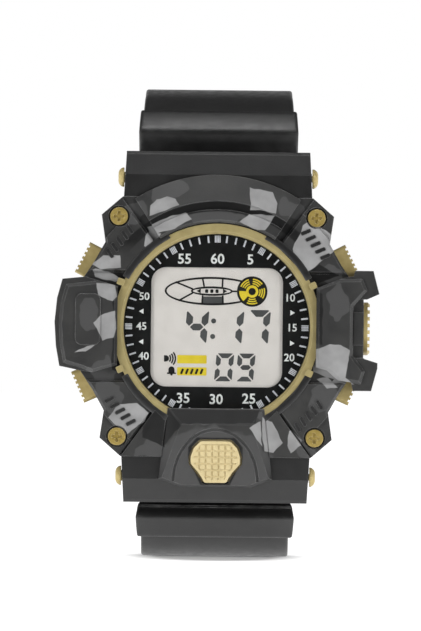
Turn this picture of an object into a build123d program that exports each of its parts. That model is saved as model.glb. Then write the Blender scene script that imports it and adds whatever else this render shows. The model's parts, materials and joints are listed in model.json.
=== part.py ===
from build123d import *
import math
import os

os.makedirs("parts", exist_ok=True)

# Digital wristwatch in a rugged resin case, standing upright on its lower strap.
# X runs to the wearer's right of the dial, Z up the dial, the dial faces -Y.
# All lengths are millimetres. While it is built, the origin is the dial's centre on the
# middle plane of the case, and every piece is moved at the end so that the origin is the
# middle of the footprint.

# Main sizes: the front outlines follow the first, the hoods and the buckle follow the second
face_radius = 25.0
strap_half_width = 13.2
cut_overrun = 12.0
fit_gap = 0.05
seat_gap = 0.1
free_gap = 0.3

# Middle case
body_front = 5.0
body_back = 6.0
body_back_chamfer = 1.4
cavity_radius_share = 0.612
cavity_radius = cavity_radius_share * face_radius
lens_seat_depth = 0.7
hood_root_height_share = 0.852
hood_root_height = hood_root_height_share * face_radius
hood_lower_height = 3.7
hood_crease_height = hood_root_height + hood_lower_height
hood_upper_height = 3.8
hood_top_height = hood_crease_height + hood_upper_height
cheek_root_width = 2.25
hood_root_half_width = strap_half_width + cheek_root_width
cheek_top_width = 1.85
hood_top_half_width = strap_half_width + cheek_top_width
hood_front = 6.0
hood_inner_depth = 1.7
hood_edge_depth = 4.5
hood_edge_chamfer = 0.45
cheek_back = 4.6
cheek_slope = 2.0

# Bezel with its corner blocks
bezel_base = 1.0
block_rise = 1.3
block_chamfer = 0.35
bezel_bore_radius_share = 0.684
bezel_bore_radius = bezel_bore_radius_share * face_radius
bore_flat_share = 0.658
bore_flat_distance = bore_flat_share * face_radius
block_inner_gap = 0.25
lug_step_radius_share = 0.932
lug_step_radius = lug_step_radius_share * face_radius
lug_step = 0.6
block_sector_angle = 36.8
wing_sector_angle = 36.2
block_inner_radius = bezel_bore_radius + block_inner_gap
block_band_half_height_share = 0.356
block_band_half_height = block_band_half_height_share * face_radius

# Upper shield
shield_inner_radius_share = 0.688
shield_inner_radius = shield_inner_radius_share * face_radius
shield_groove_inner_radius_share = 0.772
shield_groove_inner_radius = shield_groove_inner_radius_share * face_radius
shield_groove_outer_radius_share = 0.828
shield_groove_outer_radius = shield_groove_outer_radius_share * face_radius
shield_angle = 66.0
shield_rim_height = 0.5
shield_height = 2.6
shield_band_height = 2.15
shield_groove_floor = 1.6
shield_bevel = 0.4

# Guards at the sides
guard_height = 2.6
guard_chamfer = 0.45
guard_wing_depth = 2.4
left_guard_step = 0.5
right_guard_step = 0.9
crown_web_back = 5.55
crown_web_share = 0.192
crown_web_half = crown_web_share * face_radius
crown_web_step = 1.7
crown_rib_share = 0.108
crown_rib_half = crown_rib_share * face_radius
crown_rib_height = 0.5
guard_panel_height = 0.3
guard_panel_width_share = 0.164
guard_panel_width = guard_panel_width_share * face_radius
guard_panel_length_share = 0.336
guard_panel_length = guard_panel_length_share * face_radius
guard_panel_radius_share = 0.044
guard_panel_radius = guard_panel_radius_share * face_radius
guard_panel_offset_share = 0.846
guard_panel_offset = guard_panel_offset_share * face_radius
guard_panel_lift_share = 0.044
guard_panel_lift = guard_panel_lift_share * face_radius

# Lower shield
lower_shield_height = 2.6
lower_shield_bevel = 1.35
lower_shield_wall = 0.6
lower_shield_wing_height = 1.5
lower_shield_lip = 0.95
arch_groove_width = 0.5
arch_foot_share = 1.012
arch_foot_height = arch_foot_share * face_radius
arch_half_width_share = 0.286
arch_half_width = arch_half_width_share * face_radius
arch_rise_share = 0.35
arch_rise = arch_rise_share * face_radius
arch_groove_depth = 0.35

# Gold ring, lens and gasket
ring_inner_radius_share = 0.612
ring_inner_radius = ring_inner_radius_share * face_radius
ring_height = 1.0
ring_bevel = 0.45
ring_skirt = 0.5
lens_radius_share = 0.656
lens_radius = lens_radius_share * face_radius
lens_thickness = 1.6
lens_bevel = 0.25
gasket_thickness = 0.3
gasket_width = 0.9

# Dial and display
dial_thickness = 0.5
dial_gap = 0.4
window_width_share = 0.864
window_width = window_width_share * face_radius
window_height_share = 0.784
window_height = window_height_share * face_radius
window_radius_share = 0.1
window_radius = window_radius_share * face_radius
panel_margin = 0.5
panel_radius_share = 0.12
panel_radius = panel_radius_share * face_radius
panel_thickness = 1.6
light_thickness = 0.4
light_width_share = 0.8
light_width = light_width_share * face_radius
light_height_share = 0.6
light_height = light_height_share * face_radius
contact_strip_length_share = 0.72
contact_strip_length = contact_strip_length_share * face_radius
contact_strip_width = 1.2
contact_strip_height_share = 0.372
contact_strip_height = contact_strip_height_share * face_radius

# Module
module_radius_share = 0.596
module_radius = module_radius_share * face_radius
module_thickness = 4.6
board_radius_share = 0.584
board_radius = board_radius_share * face_radius
board_thickness = 0.8
chip_size = 5.0
chip_thickness = 0.8
chip_offset_share = 0.12
chip_offset = chip_offset_share * face_radius
crystal_radius = 0.95
crystal_length = 6.0
crystal_lift_share = 0.496
crystal_lift = crystal_lift_share * face_radius
battery_radius_share = 0.4
battery_radius = battery_radius_share * face_radius
battery_thickness = 2.5
battery_offset_share = 0.06
battery_offset = battery_offset_share * face_radius
battery_rim = 0.3
holder_thickness = 2.6
clip_plate_thickness = 0.3
clip_plate_width = 8.0
clip_plate_margin = 1.4
clip_plate_length = 2 * (module_radius - clip_plate_margin)
clip_plate_slot_width = 1.2
clip_plate_slot_length = 12.0
pad_inner_radius_share = 0.492
pad_inner_radius = pad_inner_radius_share * face_radius
pad_outer_radius_share = 0.576
pad_outer_radius = pad_outer_radius_share * face_radius
notch_inner_radius_share = 0.512
notch_inner_radius = notch_inner_radius_share * face_radius
notch_width = 4.2
notch_front = 3.0
notch_back = 2.6
leaf_thickness = 0.3
leaf_width = 2.4
leaf_height = 1.6
buzzer_radius_share = 0.38
buzzer_radius = buzzer_radius_share * face_radius
buzzer_thickness = 0.3
buzzer_offset_share = 0.1
buzzer_offset = buzzer_offset_share * face_radius
buzzer_spring_offset_share = 0.448
buzzer_spring_offset = buzzer_spring_offset_share * face_radius
buzzer_spring_radius = 0.8
buzzer_spring_wall = 0.3

# Case back
back_half_width_share = 0.68
back_half_width = back_half_width_share * face_radius
back_corner_radius = 6.0
back_thickness = 1.4
back_chamfer = 0.5
back_boss_gap = 0.2
back_boss_depth = 0.8
back_boss_width_share = 0.116
back_boss_width = back_boss_width_share * face_radius
back_gasket_radius_share = 0.648
back_gasket_radius = back_gasket_radius_share * face_radius
back_gasket_width = 0.8
back_gasket_depth = 0.6
back_screw_spacing_share = 0.544
back_screw_spacing = back_screw_spacing_share * face_radius
back_screw_head_radius = 1.6
back_screw_head_height = 0.7
screw_shank_radius = 0.8
back_screw_length = 4.2
driver_slot_width = 0.5
driver_slot_depth = 0.35

# Bezel screws
bezel_screw_x_share = 0.648
bezel_screw_x = bezel_screw_x_share * face_radius
bezel_screw_z_share = 0.722
bezel_screw_z = bezel_screw_z_share * face_radius
bezel_screw_head_radius = 1.45
bezel_screw_head_height = 0.8
bezel_screw_recess_radius = 1.75
bezel_screw_recess_depth = 1.2
bezel_screw_length = 4.4
cross_arm_length = 1.7

# Strap pins
pin_depth = 1.0
pin_lift = 3.2
pin_height = hood_root_height + pin_lift
pin_radius = 0.9
pin_head_radius = 1.6
pin_head_height = 0.95
pin_head_dome = 0.7
dome_shoulder_share = 0.75
dome_flat_share = 0.25
pin_cap_stub_radius = 0.55
pin_cap_stub_length = 3.6

# Side pushers
pusher_upper_angle = 27.0
pusher_lower_angle = -24.0
pusher_depth = 0.3
pusher_face_radius_share = 0.996
pusher_face_radius = pusher_face_radius_share * face_radius
pusher_length = 5.55
pusher_width = 3.2
pusher_thickness = 2.9
pusher_corner_radius = 0.7
pusher_travel = 0.8
pusher_shaft_radius = 0.9
pusher_rib_pitch = 0.8
pusher_rib_width = 0.35
pusher_rib_depth = 0.3
pusher_rib_count = 6
pusher_end_radius_share = 0.576
pusher_end_radius = pusher_end_radius_share * face_radius
pusher_spring_radius = 1.6
pusher_spring_wall = 0.4
pusher_spring_seat_radius_share = 0.736
pusher_spring_seat_radius = pusher_spring_seat_radius_share * face_radius
seal_width = 0.7
seal_length = 0.9
retainer_radius = 1.6
retainer_thickness = 0.5

# Round side button
side_button_radius = 4.35
side_button_thickness = 1.0
side_button_face_share = 1.004
side_button_face = side_button_face_share * face_radius
side_button_depth = 0.9
side_button_hub_radius = 2.3
side_button_hub_length = 2.9
side_button_shaft_radius = 1.1
side_button_rib_pitch = 1.1
side_button_rib_width = 0.5
side_button_rib_depth = 0.35
side_button_rib_count = 7
side_spring_wall = 0.5
side_spring_length = 2.2

# Front button
front_button_rise = 0.5
front_button_flange = 0.7
front_button_flange_margin = 0.7
front_button_travel = 0.7
front_button_stem_radius = 1.0
front_button_stem_height_share = 0.78
front_button_stem_height = front_button_stem_height_share * face_radius
front_button_stem_length = 7.6
front_button_corner_radius = 0.5
front_button_rim = 0.5
front_button_grid_pitch = 1.06
front_button_grid_groove = 0.28
front_button_grid_depth = 0.2
front_button_grid_columns = 6
front_button_grid_rows = 7
front_spring_radius = 1.6
front_spring_wall = 0.4
front_spring_seat_depth = 2.6

# Straps
strap_half_thickness = 1.8
strap_hump_thickness = 2.0
strap_hump_foot = 1.3
knuckle_radius = 2.2
upper_first_angle = 80.0
upper_first_turn = 65.0
upper_first_radius = 15.0
upper_second_turn = 85.0
upper_second_radius = 30.0
upper_straight_length = 18.0
upper_hump_start = 65.0
upper_hump_end = 42.5
upper_hump_crest = 57.0
upper_hump_foot = 70.0
lower_first_angle = 88.0
lower_drop_length = 3.67
lower_first_radius = 8.0
lower_flat_length = 31.0
lower_tail_radius = 45.0
lower_tail_turn = 86.0
lower_hump_start = 80.0
lower_hump_end = 55.0
lower_hump_crest = 74.0
lower_tip_radius = 7.0
strap_hole_radius = 1.3
strap_hole_pitch = 6.5
strap_hole_count = 9
strap_hole_first_length = 14.0
strap_groove_width = 0.8
strap_groove_depth = 0.45
strap_groove_pitch = 3.0
strap_groove_count = 5

# Buckle and keeper
bar_radius = 0.75
strap_end_share = 0.76136
buckle_side_gap = 0.65
buckle_arm_inner = strap_end_share * strap_half_width + buckle_side_gap
buckle_arm_width = 3.0
buckle_arm_outer = buckle_arm_inner + buckle_arm_width
bar_half_length = buckle_arm_outer - free_gap
buckle_thickness = 2.8
buckle_length = 16.0
buckle_end_width = 3.2
buckle_corner_radius = 3.0
buckle_boss_radius = 1.7
bar_knuckle_radius = 1.9
tongue_half_width = 1.3
tongue_thickness = 1.5
tongue_eye_radius = 1.75
tongue_notch_depth = 4.4
keeper_width = 6.0
keeper_wall = 1.6
keeper_layer_thickness = 3.6
keeper_place_length = 5.0

# Outlines as shares of face_radius, from the top round to the right side
core_quadrant_shares = [(0.624, 0.852), (0.762, 0.732), (0.736, 0.552), (0.812, 0.416), (0.892, 0.296)]
left_guard_shares = [
    (-0.652, 0.264),
    (-0.776, 0.298),
    (-0.862, 0.324),
    (-1.015, 0.308),
    (-1.049, 0.182),
    (-1.064, 0.026),
    (-1.054, -0.131),
    (-1.030, -0.264),
    (-0.893, -0.292),
    (-0.812, -0.304),
    (-0.724, -0.276),
    (-0.652, -0.256),
]
left_plate_shares = [
    (-0.652, 0.264),
    (-0.776, 0.296),
    (-0.988, 0.272),
    (-1.020, 0.160),
    (-1.034, 0.020),
    (-1.026, -0.120),
    (-1.004, -0.240),
    (-0.880, -0.276),
    (-0.812, -0.302),
    (-0.724, -0.276),
    (-0.652, -0.256),
]
right_guard_shares = [
    (0.652, 0.264),
    (0.816, 0.328),
    (0.896, 0.345),
    (0.905, 0.380),
    (1.024, 0.380),
    (1.064, 0.228),
    (0.984, 0.192),
    (0.962, 0.192),
    (0.962, -0.192),
    (0.972, -0.198),
    (1.056, -0.224),
    (1.056, -0.260),
    (1.016, -0.408),
    (0.896, -0.408),
    (0.884, -0.350),
    (0.816, -0.336),
    (0.724, -0.276),
    (0.652, -0.256),
]
right_plate_shares = [
    (0.652, 0.264),
    (0.801, 0.322),
    (0.952, 0.326),
    (0.984, 0.250),
    (0.892, 0.146),
    (0.892, -0.176),
    (0.972, -0.280),
    (0.946, -0.362),
    (0.800, -0.340),
    (0.724, -0.276),
    (0.652, -0.256),
]
lower_shield_shares = [
    (-0.320, -0.528),
    (0.320, -0.528),
    (0.372, -0.996),
    (0.232, -1.048),
    (-0.232, -1.048),
    (-0.372, -0.996),
]
lower_shield_top_shares = [
    (-0.230, -0.640),
    (0.230, -0.640),
    (0.350, -0.986),
    (0.222, -1.036),
    (-0.222, -1.036),
    (-0.350, -0.986),
]
front_button_shares = [
    (-0.098, -0.748),
    (0.098, -0.748),
    (0.142, -0.792),
    (0.163, -0.852),
    (0.161, -0.896),
    (0.114, -0.950),
    (0.090, -0.984),
    (0.072, -1.020),
    (-0.072, -1.020),
    (-0.090, -0.984),
    (-0.114, -0.950),
    (-0.161, -0.896),
    (-0.163, -0.852),
    (-0.142, -0.792),
]
# Half widths along the straps, as shares of the strap's reach behind the pin and of its half width
upper_plan_shares = [
    (-0.10, 1.0),
    (-0.03, 1.0),
    (0.045, 0.972),
    (0.055, 0.943),
    (0.22, 0.917),
    (0.40, 0.910),
    (0.82, 0.765),
    (1.20, 0.758),
]
lower_plan_shares = [
    (-0.10, 1.0),
    (-0.045, 1.0),
    (-0.012, 0.962),
    (-0.006, 0.917),
    (0.17, 0.913),
    (0.50, 0.765),
    (1.20, 0.758),
]

# Levels worked out from the sizes above, front is negative
bezel_face = -(body_front + bezel_base)
block_face = bezel_face - block_rise
lens_seat = -(body_front - lens_seat_depth)
lens_back = lens_seat - gasket_thickness
lens_front = lens_back - lens_thickness
ring_front = lens_front - ring_height
overhang_back = ring_front - seat_gap
guard_front = bezel_face - guard_height
lower_shield_front = bezel_face - lower_shield_height
dial_front = lens_back + dial_gap
dial_back = dial_front + dial_thickness
module_back = dial_back + module_thickness
board_back = module_back + board_thickness
holder_back = board_back + holder_thickness
clip_back = holder_back + clip_plate_thickness
boss_front = body_back - back_boss_depth
back_face = body_back + back_thickness
ring_outer_radius = bezel_bore_radius - seat_gap
panel_back = dial_back + fit_gap + panel_thickness
light_front = panel_back + fit_gap


def front_plane(depth):
    return Plane(origin=(0, depth, 0), x_dir=(1, 0, 0), z_dir=(0, -1, 0))


side_plane = Plane(origin=(0, 0, 0), x_dir=(0, 1, 0), z_dir=(1, 0, 0))


# A front outline from its back level to its front level
def slab(outline, back, front):
    return extrude(front_plane(back) * outline, amount=back - front)


# A side outline, spread to both sides of the middle plane
def wide(outline, half_width):
    return extrude(side_plane * outline, amount=half_width, both=True)


def face_of(points):
    return make_face(Polyline(*points, close=True))


def scaled(shares, size):
    return [(x * size, z * size) for x, z in shares]


def mirrored_loop(quadrant):
    right = quadrant + [(x, -z) for x, z in reversed(quadrant)]
    return right + [(-x, z) for x, z in reversed(right)]


# A circle with four flats that face the corner blocks
def flatted(radius, flat_distance):
    return Circle(radius) & (Rot(0, 0, 45) * Rectangle(2 * flat_distance, 2 * flat_distance))


def disc(radius, back, front, x=0.0, z=0.0):
    return slab(Pos(x, z) * Circle(radius), back, front)


def ring(outer, inner, back, front, x=0.0, z=0.0):
    return slab(Pos(x, z) * (Circle(outer) - Circle(inner)), back, front)


def box_slab(width, height, back, front, x=0.0, z=0.0):
    return slab(Pos(x, z) * Rectangle(width, height), back, front)


# Frame of a pusher: local Z points outwards along the pusher's axis, local Y to the back
def radial_plane(angle, radius, depth, side=1.0):
    a = math.radians(angle)
    out = (side * math.cos(a), 0, math.sin(a))
    place = (out[0] * radius, depth, out[2] * radius)
    return Plane(origin=place, x_dir=(-side * math.sin(a), 0, math.cos(a)), z_dir=out)


def one_solid(shape):
    solids = shape.solids()
    return solids[0] if len(solids) == 1 else shape


# Reversed heads: a dome on a flat disc, turned round the local Z axis
def domed_head(radius, height, dome):
    rim = height - dome
    flat = radius * dome_flat_share
    shoulder = (radius * dome_shoulder_share, rim + dome * dome_shoulder_share)
    crown = ThreePointArc((radius, rim), shoulder, (flat, height))
    sides = Polyline((flat, height), (0, height), (0, 0), (radius, 0), (radius, rim))
    return revolve(Plane.XZ * make_face(Wire([crown, *sides.edges()])), Axis.Z)


pieces = {}

# Middle case with the two strap hoods
core = face_of(mirrored_loop(scaled(core_quadrant_shares, face_radius)))
body = slab(core, body_back, -body_front)
body = chamfer(body.faces().sort_by(Axis.Y)[-1].edges(), body_back_chamfer)
hood_root = hood_root_height - cheek_slope
hood_profile = face_of(
    [
        (-body_front, hood_root),
        (-body_front, hood_root_height),
        (-hood_front, hood_root_height),
        (-hood_front, hood_crease_height),
        (-hood_edge_depth, hood_top_height - hood_edge_chamfer),
        (-hood_edge_depth + hood_edge_chamfer, hood_top_height),
        (-hood_inner_depth, hood_top_height),
        (-hood_inner_depth, hood_root),
    ]
)
cheek_profile = face_of(
    [
        (-hood_inner_depth, hood_root),
        (cheek_back, hood_root),
        (cheek_back, hood_crease_height + cheek_slope / 2),
        (cheek_back - cheek_slope, hood_top_height - cheek_slope / 4),
        (-hood_inner_depth, hood_top_height),
    ]
)
hood_front_outline = face_of(
    [
        (-hood_root_half_width, hood_root),
        (hood_root_half_width, hood_root),
        (hood_root_half_width, hood_root_height),
        (hood_top_half_width, hood_top_height),
        (-hood_top_half_width, hood_top_height),
        (-hood_root_half_width, hood_root_height),
    ]
)
hood_block = slab(hood_front_outline, cheek_back, -hood_front)
strap_room = box_slab(
    2 * (strap_half_width + free_gap),
    2 * (hood_top_height - hood_root_height),
    cheek_back + cut_overrun,
    -hood_inner_depth,
    0.0,
    hood_top_height,
)
hood = (wide(hood_profile, hood_root_half_width) + wide(cheek_profile, hood_root_half_width)) & hood_block
hood = hood - strap_room
body = body + hood + mirror(hood, Plane.XY)
body -= disc(cavity_radius, body_back, -body_front)
body -= disc(lens_radius + seat_gap, lens_seat, -body_front)
groove_inner = back_gasket_radius - back_gasket_width / 2
groove_outer = back_gasket_radius + back_gasket_width / 2
body -= ring(groove_outer, groove_inner, body_back, body_back - back_gasket_depth)
pin_plane = Plane(origin=(0, pin_depth, pin_height), x_dir=(0, 1, 0), z_dir=(1, 0, 0))
pin_bore_half = hood_root_half_width + cut_overrun
pin_bore = extrude(pin_plane * Circle(pin_radius + fit_gap), amount=pin_bore_half, both=True)
body = body - pin_bore - mirror(pin_bore, Plane.XY)

# Bores, pockets and clips of the four side pushers
pusher_places = {
    "upper_right": (pusher_upper_angle, 1.0),
    "upper_left": (pusher_upper_angle, -1.0),
    "lower_right": (pusher_lower_angle, 1.0),
    "lower_left": (pusher_lower_angle, -1.0),
}
head_back_radius = pusher_face_radius - pusher_thickness
pocket_floor_radius = head_back_radius - pusher_travel - free_gap
seal_inner_radius = cavity_radius + seal_length
retainer_face_radius = cavity_radius - seat_gap
module_notch = None
seals = []
leaves = []
for name, (angle, side) in pusher_places.items():
    floor = radial_plane(angle, pocket_floor_radius, pusher_depth, side)
    pocket_length = pusher_length + 2 * free_gap
    pocket_width = pusher_width + 2 * free_gap
    pocket_outline = RectangleRounded(pocket_length, pocket_width, pusher_corner_radius)
    pocket = extrude(floor * pocket_outline, amount=cut_overrun)
    seat = radial_plane(angle, pusher_spring_seat_radius, pusher_depth, side)
    spring_room_length = pocket_floor_radius - pusher_spring_seat_radius + seat_gap
    spring_room = extrude(seat * Circle(pusher_spring_radius + seat_gap), amount=spring_room_length)
    inner = radial_plane(angle, notch_inner_radius, pusher_depth, side)
    bore = extrude(inner * Circle(pusher_shaft_radius + fit_gap), amount=cut_overrun)
    seal_plane = radial_plane(angle, seal_inner_radius, pusher_depth, side)
    seal_room = extrude(seal_plane * Circle(pusher_shaft_radius + fit_gap + seal_width), amount=seal_length)
    body = body - pocket - spring_room - bore - seal_room
    seals.append(
        extrude(
            radial_plane(angle, seal_inner_radius + fit_gap, pusher_depth, side)
            * (Circle(pusher_shaft_radius + seal_width) - Circle(pusher_shaft_radius + fit_gap)),
            amount=seal_length - 2 * fit_gap,
        )
    )
    head = extrude(
        radial_plane(angle, head_back_radius, pusher_depth, side)
        * RectangleRounded(pusher_length, pusher_width, pusher_corner_radius),
        amount=pusher_thickness,
    )
    groove_plane = radial_plane(angle, pusher_face_radius - pusher_rib_depth, pusher_depth, side)
    for place in range(pusher_rib_count):
        groove_x = (place - (pusher_rib_count - 1) / 2) * pusher_rib_pitch
        groove = Pos(groove_x, 0) * Rectangle(pusher_rib_width, pusher_width + cut_overrun)
        head -= extrude(groove_plane * groove, amount=cut_overrun)
    shaft = extrude(
        radial_plane(angle, pusher_end_radius, pusher_depth, side) * Circle(pusher_shaft_radius),
        amount=head_back_radius - pusher_end_radius,
    )
    neck_radius = pusher_shaft_radius - pusher_spring_wall / 2
    neck = extrude(
        radial_plane(angle, retainer_face_radius - retainer_thickness - fit_gap, pusher_depth, side)
        * (Circle(pusher_shaft_radius + pusher_spring_wall) - Circle(neck_radius)),
        amount=retainer_thickness + 2 * fit_gap,
    )
    pieces["pusher_" + name] = head + shaft - neck
    clip_slot = Pos(0, retainer_radius) * Rectangle(neck_radius, 2 * retainer_radius)
    pieces["pusher_clip_" + name] = extrude(
        radial_plane(angle, retainer_face_radius - retainer_thickness, pusher_depth, side)
        * (Circle(retainer_radius) - Circle(neck_radius + fit_gap) - clip_slot),
        amount=retainer_thickness,
    )
    pieces["pusher_spring_" + name] = extrude(
        radial_plane(angle, pusher_spring_seat_radius, pusher_depth, side)
        * (Circle(pusher_spring_radius) - Circle(pusher_spring_radius - pusher_spring_wall)),
        amount=head_back_radius - pusher_spring_seat_radius,
    )
    notch_plane = radial_plane(angle, notch_inner_radius, 0.0, side)
    notch = extrude(notch_plane * Rectangle(notch_width, 2 * cut_overrun), amount=cut_overrun)
    notch = notch & box_slab(4 * face_radius, 4 * face_radius, notch_back, -notch_front)
    module_notch = notch if module_notch is None else module_notch + notch
    leaves.append(
        extrude(
            radial_plane(angle, notch_inner_radius - leaf_thickness - seat_gap, 0.0, side)
            * Pos(0, 0)
            * Rectangle(leaf_width, 2 * cut_overrun),
            amount=leaf_thickness,
        )
        & box_slab(4 * face_radius, 4 * face_radius, module_back, module_back - leaf_height)
    )
pieces["pusher_seals"] = Compound(children=[one_solid(s) for s in seals])

# Round side button at the right


def side_disc(radius, start, end, hole=0.0):
    plane = Plane(origin=(start, -side_button_depth, 0), x_dir=(0, 1, 0), z_dir=(1, 0, 0))
    outline = Circle(radius) - Circle(hole) if hole else Circle(radius)
    return extrude(plane * outline, amount=end - start)


rib_floor = side_button_face - side_button_rib_depth
disc_back = side_button_face - side_button_thickness
hub_end = disc_back - side_button_hub_length
side_spring_seat = hub_end - side_spring_length
side_bore_radius = side_button_shaft_radius + fit_gap
body -= side_disc(side_button_hub_radius + free_gap, side_spring_seat, side_button_face + cut_overrun)
body -= side_disc(side_bore_radius, notch_inner_radius, side_button_face)
body -= side_disc(side_bore_radius + seal_width, seal_inner_radius, seal_inner_radius + seal_length)
side_button = side_disc(side_button_radius, disc_back, side_button_face)
side_button = chamfer(side_button.faces().sort_by(Axis.X)[-1].edges(), side_button_rib_depth)
for place in range(side_button_rib_count):
    rib_z = (place - (side_button_rib_count - 1) / 2) * side_button_rib_pitch
    rib_plane = Plane(origin=(rib_floor, 0, rib_z), x_dir=(0, 1, 0), z_dir=(1, 0, 0))
    rib_groove = rib_plane * Rectangle(4 * side_button_radius, side_button_rib_width)
    side_button -= extrude(rib_groove, amount=cut_overrun)
side_button += side_disc(side_button_hub_radius, hub_end, disc_back)
side_button += side_disc(side_button_shaft_radius, pusher_end_radius, hub_end)
side_neck_radius = side_button_shaft_radius - pusher_spring_wall / 2
side_button -= side_disc(
    side_button_shaft_radius + pusher_spring_wall,
    retainer_face_radius - retainer_thickness - fit_gap,
    retainer_face_radius + fit_gap,
    side_neck_radius,
)
pieces["side_button"] = side_button
side_clip_start = retainer_face_radius - retainer_thickness
side_clip = side_disc(retainer_radius, side_clip_start, retainer_face_radius, side_neck_radius + fit_gap)
clip_mouth = Plane(
    origin=(side_clip_start, -side_button_depth + retainer_radius, 0), x_dir=(0, 1, 0), z_dir=(1, 0, 0)
)
clip_mouth = clip_mouth * Rectangle(2 * retainer_radius, side_neck_radius)
side_clip -= extrude(clip_mouth, amount=retainer_thickness)
pieces["side_button_clip"] = side_clip
pieces["side_button_spring"] = side_disc(
    side_button_hub_radius, side_spring_seat, hub_end, side_button_hub_radius - side_spring_wall
)
pieces["side_button_seal"] = side_disc(
    side_button_shaft_radius + seal_width,
    seal_inner_radius + fit_gap,
    seal_inner_radius + seal_length - fit_gap,
    side_bore_radius,
)
side_notch = extrude(
    radial_plane(0.0, notch_inner_radius, 0.0) * Rectangle(notch_width, 2 * cut_overrun), amount=cut_overrun
) & box_slab(4 * face_radius, 4 * face_radius, notch_back, -notch_front)
module_notch += side_notch
leaves.append(
    extrude(
        radial_plane(0.0, notch_inner_radius - leaf_thickness - seat_gap, 0.0)
        * Rectangle(leaf_width, 2 * cut_overrun),
        amount=leaf_thickness,
    )
    & box_slab(4 * face_radius, 4 * face_radius, module_back, module_back - leaf_height)
)

# Front button behind the lower shield's window
button_outline = face_of(scaled(front_button_shares, face_radius))
button_outline = fillet(button_outline.vertices(), front_button_corner_radius)
shield_face = face_of(scaled(lower_shield_shares, face_radius))
flange_limit = offset(shield_face, -lower_shield_wall - free_gap, kind=Kind.INTERSECTION)
flange_outline = offset(button_outline, front_button_flange_margin, kind=Kind.INTERSECTION) & flange_limit
flange_front = lower_shield_front + lower_shield_lip + fit_gap
button_front = lower_shield_front - front_button_rise
stem_end = flange_front + front_button_flange + front_button_stem_length
front_button = slab(button_outline, flange_front, button_front) + slab(
    flange_outline, flange_front + front_button_flange, flange_front
)
front_button = front_button + disc(
    front_button_stem_radius, stem_end, flange_front + front_button_flange, 0.0, -front_button_stem_height
)
grid_top = front_button_shares[0][1] * face_radius
grid_groove_back = button_front + front_button_grid_depth
grid_lines = None
for column in range(front_button_grid_columns):
    x = (column - (front_button_grid_columns - 1) / 2) * front_button_grid_pitch
    line = Pos(x, -front_button_stem_height) * Rectangle(front_button_grid_groove, face_radius)
    grid_lines = line if grid_lines is None else grid_lines + line
for row in range(front_button_grid_rows):
    z = grid_top - front_button_rim - row * front_button_grid_pitch
    grid_lines += Pos(0, z) * Rectangle(face_radius, front_button_grid_groove)
grid_room = offset(button_outline, -front_button_rim, kind=Kind.INTERSECTION)
front_button -= slab(grid_lines & grid_room, grid_groove_back, button_front)
pieces["front_button"] = front_button
spring_seat = -(body_front - front_spring_seat_depth)
pieces["front_button_spring"] = ring(
    front_spring_radius,
    front_spring_radius - front_spring_wall,
    spring_seat,
    flange_front + front_button_flange,
    0.0,
    -front_button_stem_height,
)
body -= disc(
    front_spring_radius + seat_gap, spring_seat, -body_front - cut_overrun, 0.0, -front_button_stem_height
)
body -= disc(
    front_button_stem_radius + fit_gap,
    stem_end + front_button_travel + free_gap,
    -body_front,
    0.0,
    -front_button_stem_height,
)

# Screw holes of the case
for sx in (1, -1):
    for sz in (1, -1):
        body -= disc(
            screw_shank_radius + fit_gap,
            body_back,
            back_face - back_screw_head_height - back_screw_length - seat_gap,
            sx * back_screw_spacing,
            sz * back_screw_spacing,
        )
        body -= disc(
            screw_shank_radius + fit_gap,
            block_face + bezel_screw_recess_depth + bezel_screw_length + seat_gap,
            -body_front,
            sx * bezel_screw_x,
            sz * bezel_screw_z,
        )
pieces["case_body"] = body

# Bezel: a flat base ring that carries four raised corner blocks
bezel = slab(core - flatted(bezel_bore_radius, bore_flat_distance), -body_front, bezel_face)
block_bore = flatted(block_inner_radius, bore_flat_distance + block_inner_gap)
far = 4 * face_radius


def sector_face(angle):
    half = math.radians(angle)
    across, along = far * math.sin(half), far * math.cos(half)
    return face_of([(0, 0), (across, along), (-across, along)])


wedge = sector_face(block_sector_angle)
lower_outline = shield_face
wing_pair = (core & mirror(sector_face(wing_sector_angle), Plane.XZ)) - block_bore - lower_outline
left_outline = face_of(scaled(left_guard_shares, face_radius))
right_outline = face_of(scaled(right_guard_shares, face_radius))
left_plate = face_of(scaled(left_plate_shares, face_radius))
right_plate = face_of(scaled(right_plate_shares, face_radius))
blocks = core - block_bore - wedge - Rectangle(far, 2 * block_band_half_height)
blocks = blocks - mirror(wedge, Plane.XZ)
corner_faces = [f for f in blocks.faces() if f.area > (screw_shank_radius + bezel_screw_recess_radius) ** 2]
for face in corner_faces:
    block = slab(face, bezel_face, block_face)
    bezel += chamfer(block.faces().sort_by(Axis.Y)[0].edges(), block_chamfer)
bezel -= ring(far, lug_step_radius, block_face + lug_step, block_face - cut_overrun)
screws = []
for sx in (1, -1):
    for sz in (1, -1):
        x, z = sx * bezel_screw_x, sz * bezel_screw_z
        seat_level = block_face + bezel_screw_recess_depth
        bezel -= disc(bezel_screw_recess_radius, seat_level, block_face - cut_overrun, x, z)
        bezel -= disc(screw_shank_radius + fit_gap, -body_front, block_face, x, z)
        head_top = seat_level - bezel_screw_head_height
        screw = disc(bezel_screw_head_radius, seat_level, head_top, x, z)
        screw += disc(screw_shank_radius, seat_level + bezel_screw_length, seat_level, x, z)
        for turn in (0, 90):
            arm = Rot(0, 0, turn) * Rectangle(cross_arm_length, driver_slot_width)
            screw -= slab(Pos(x, z) * arm, head_top + driver_slot_depth, head_top - cut_overrun)
        screws.append(one_solid(screw))
bezel -= disc(front_spring_radius + seat_gap, -body_front, bezel_face, 0.0, -front_button_stem_height)
pieces["bezel"] = bezel
pieces["bezel_screws"] = Compound(children=screws)

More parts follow.
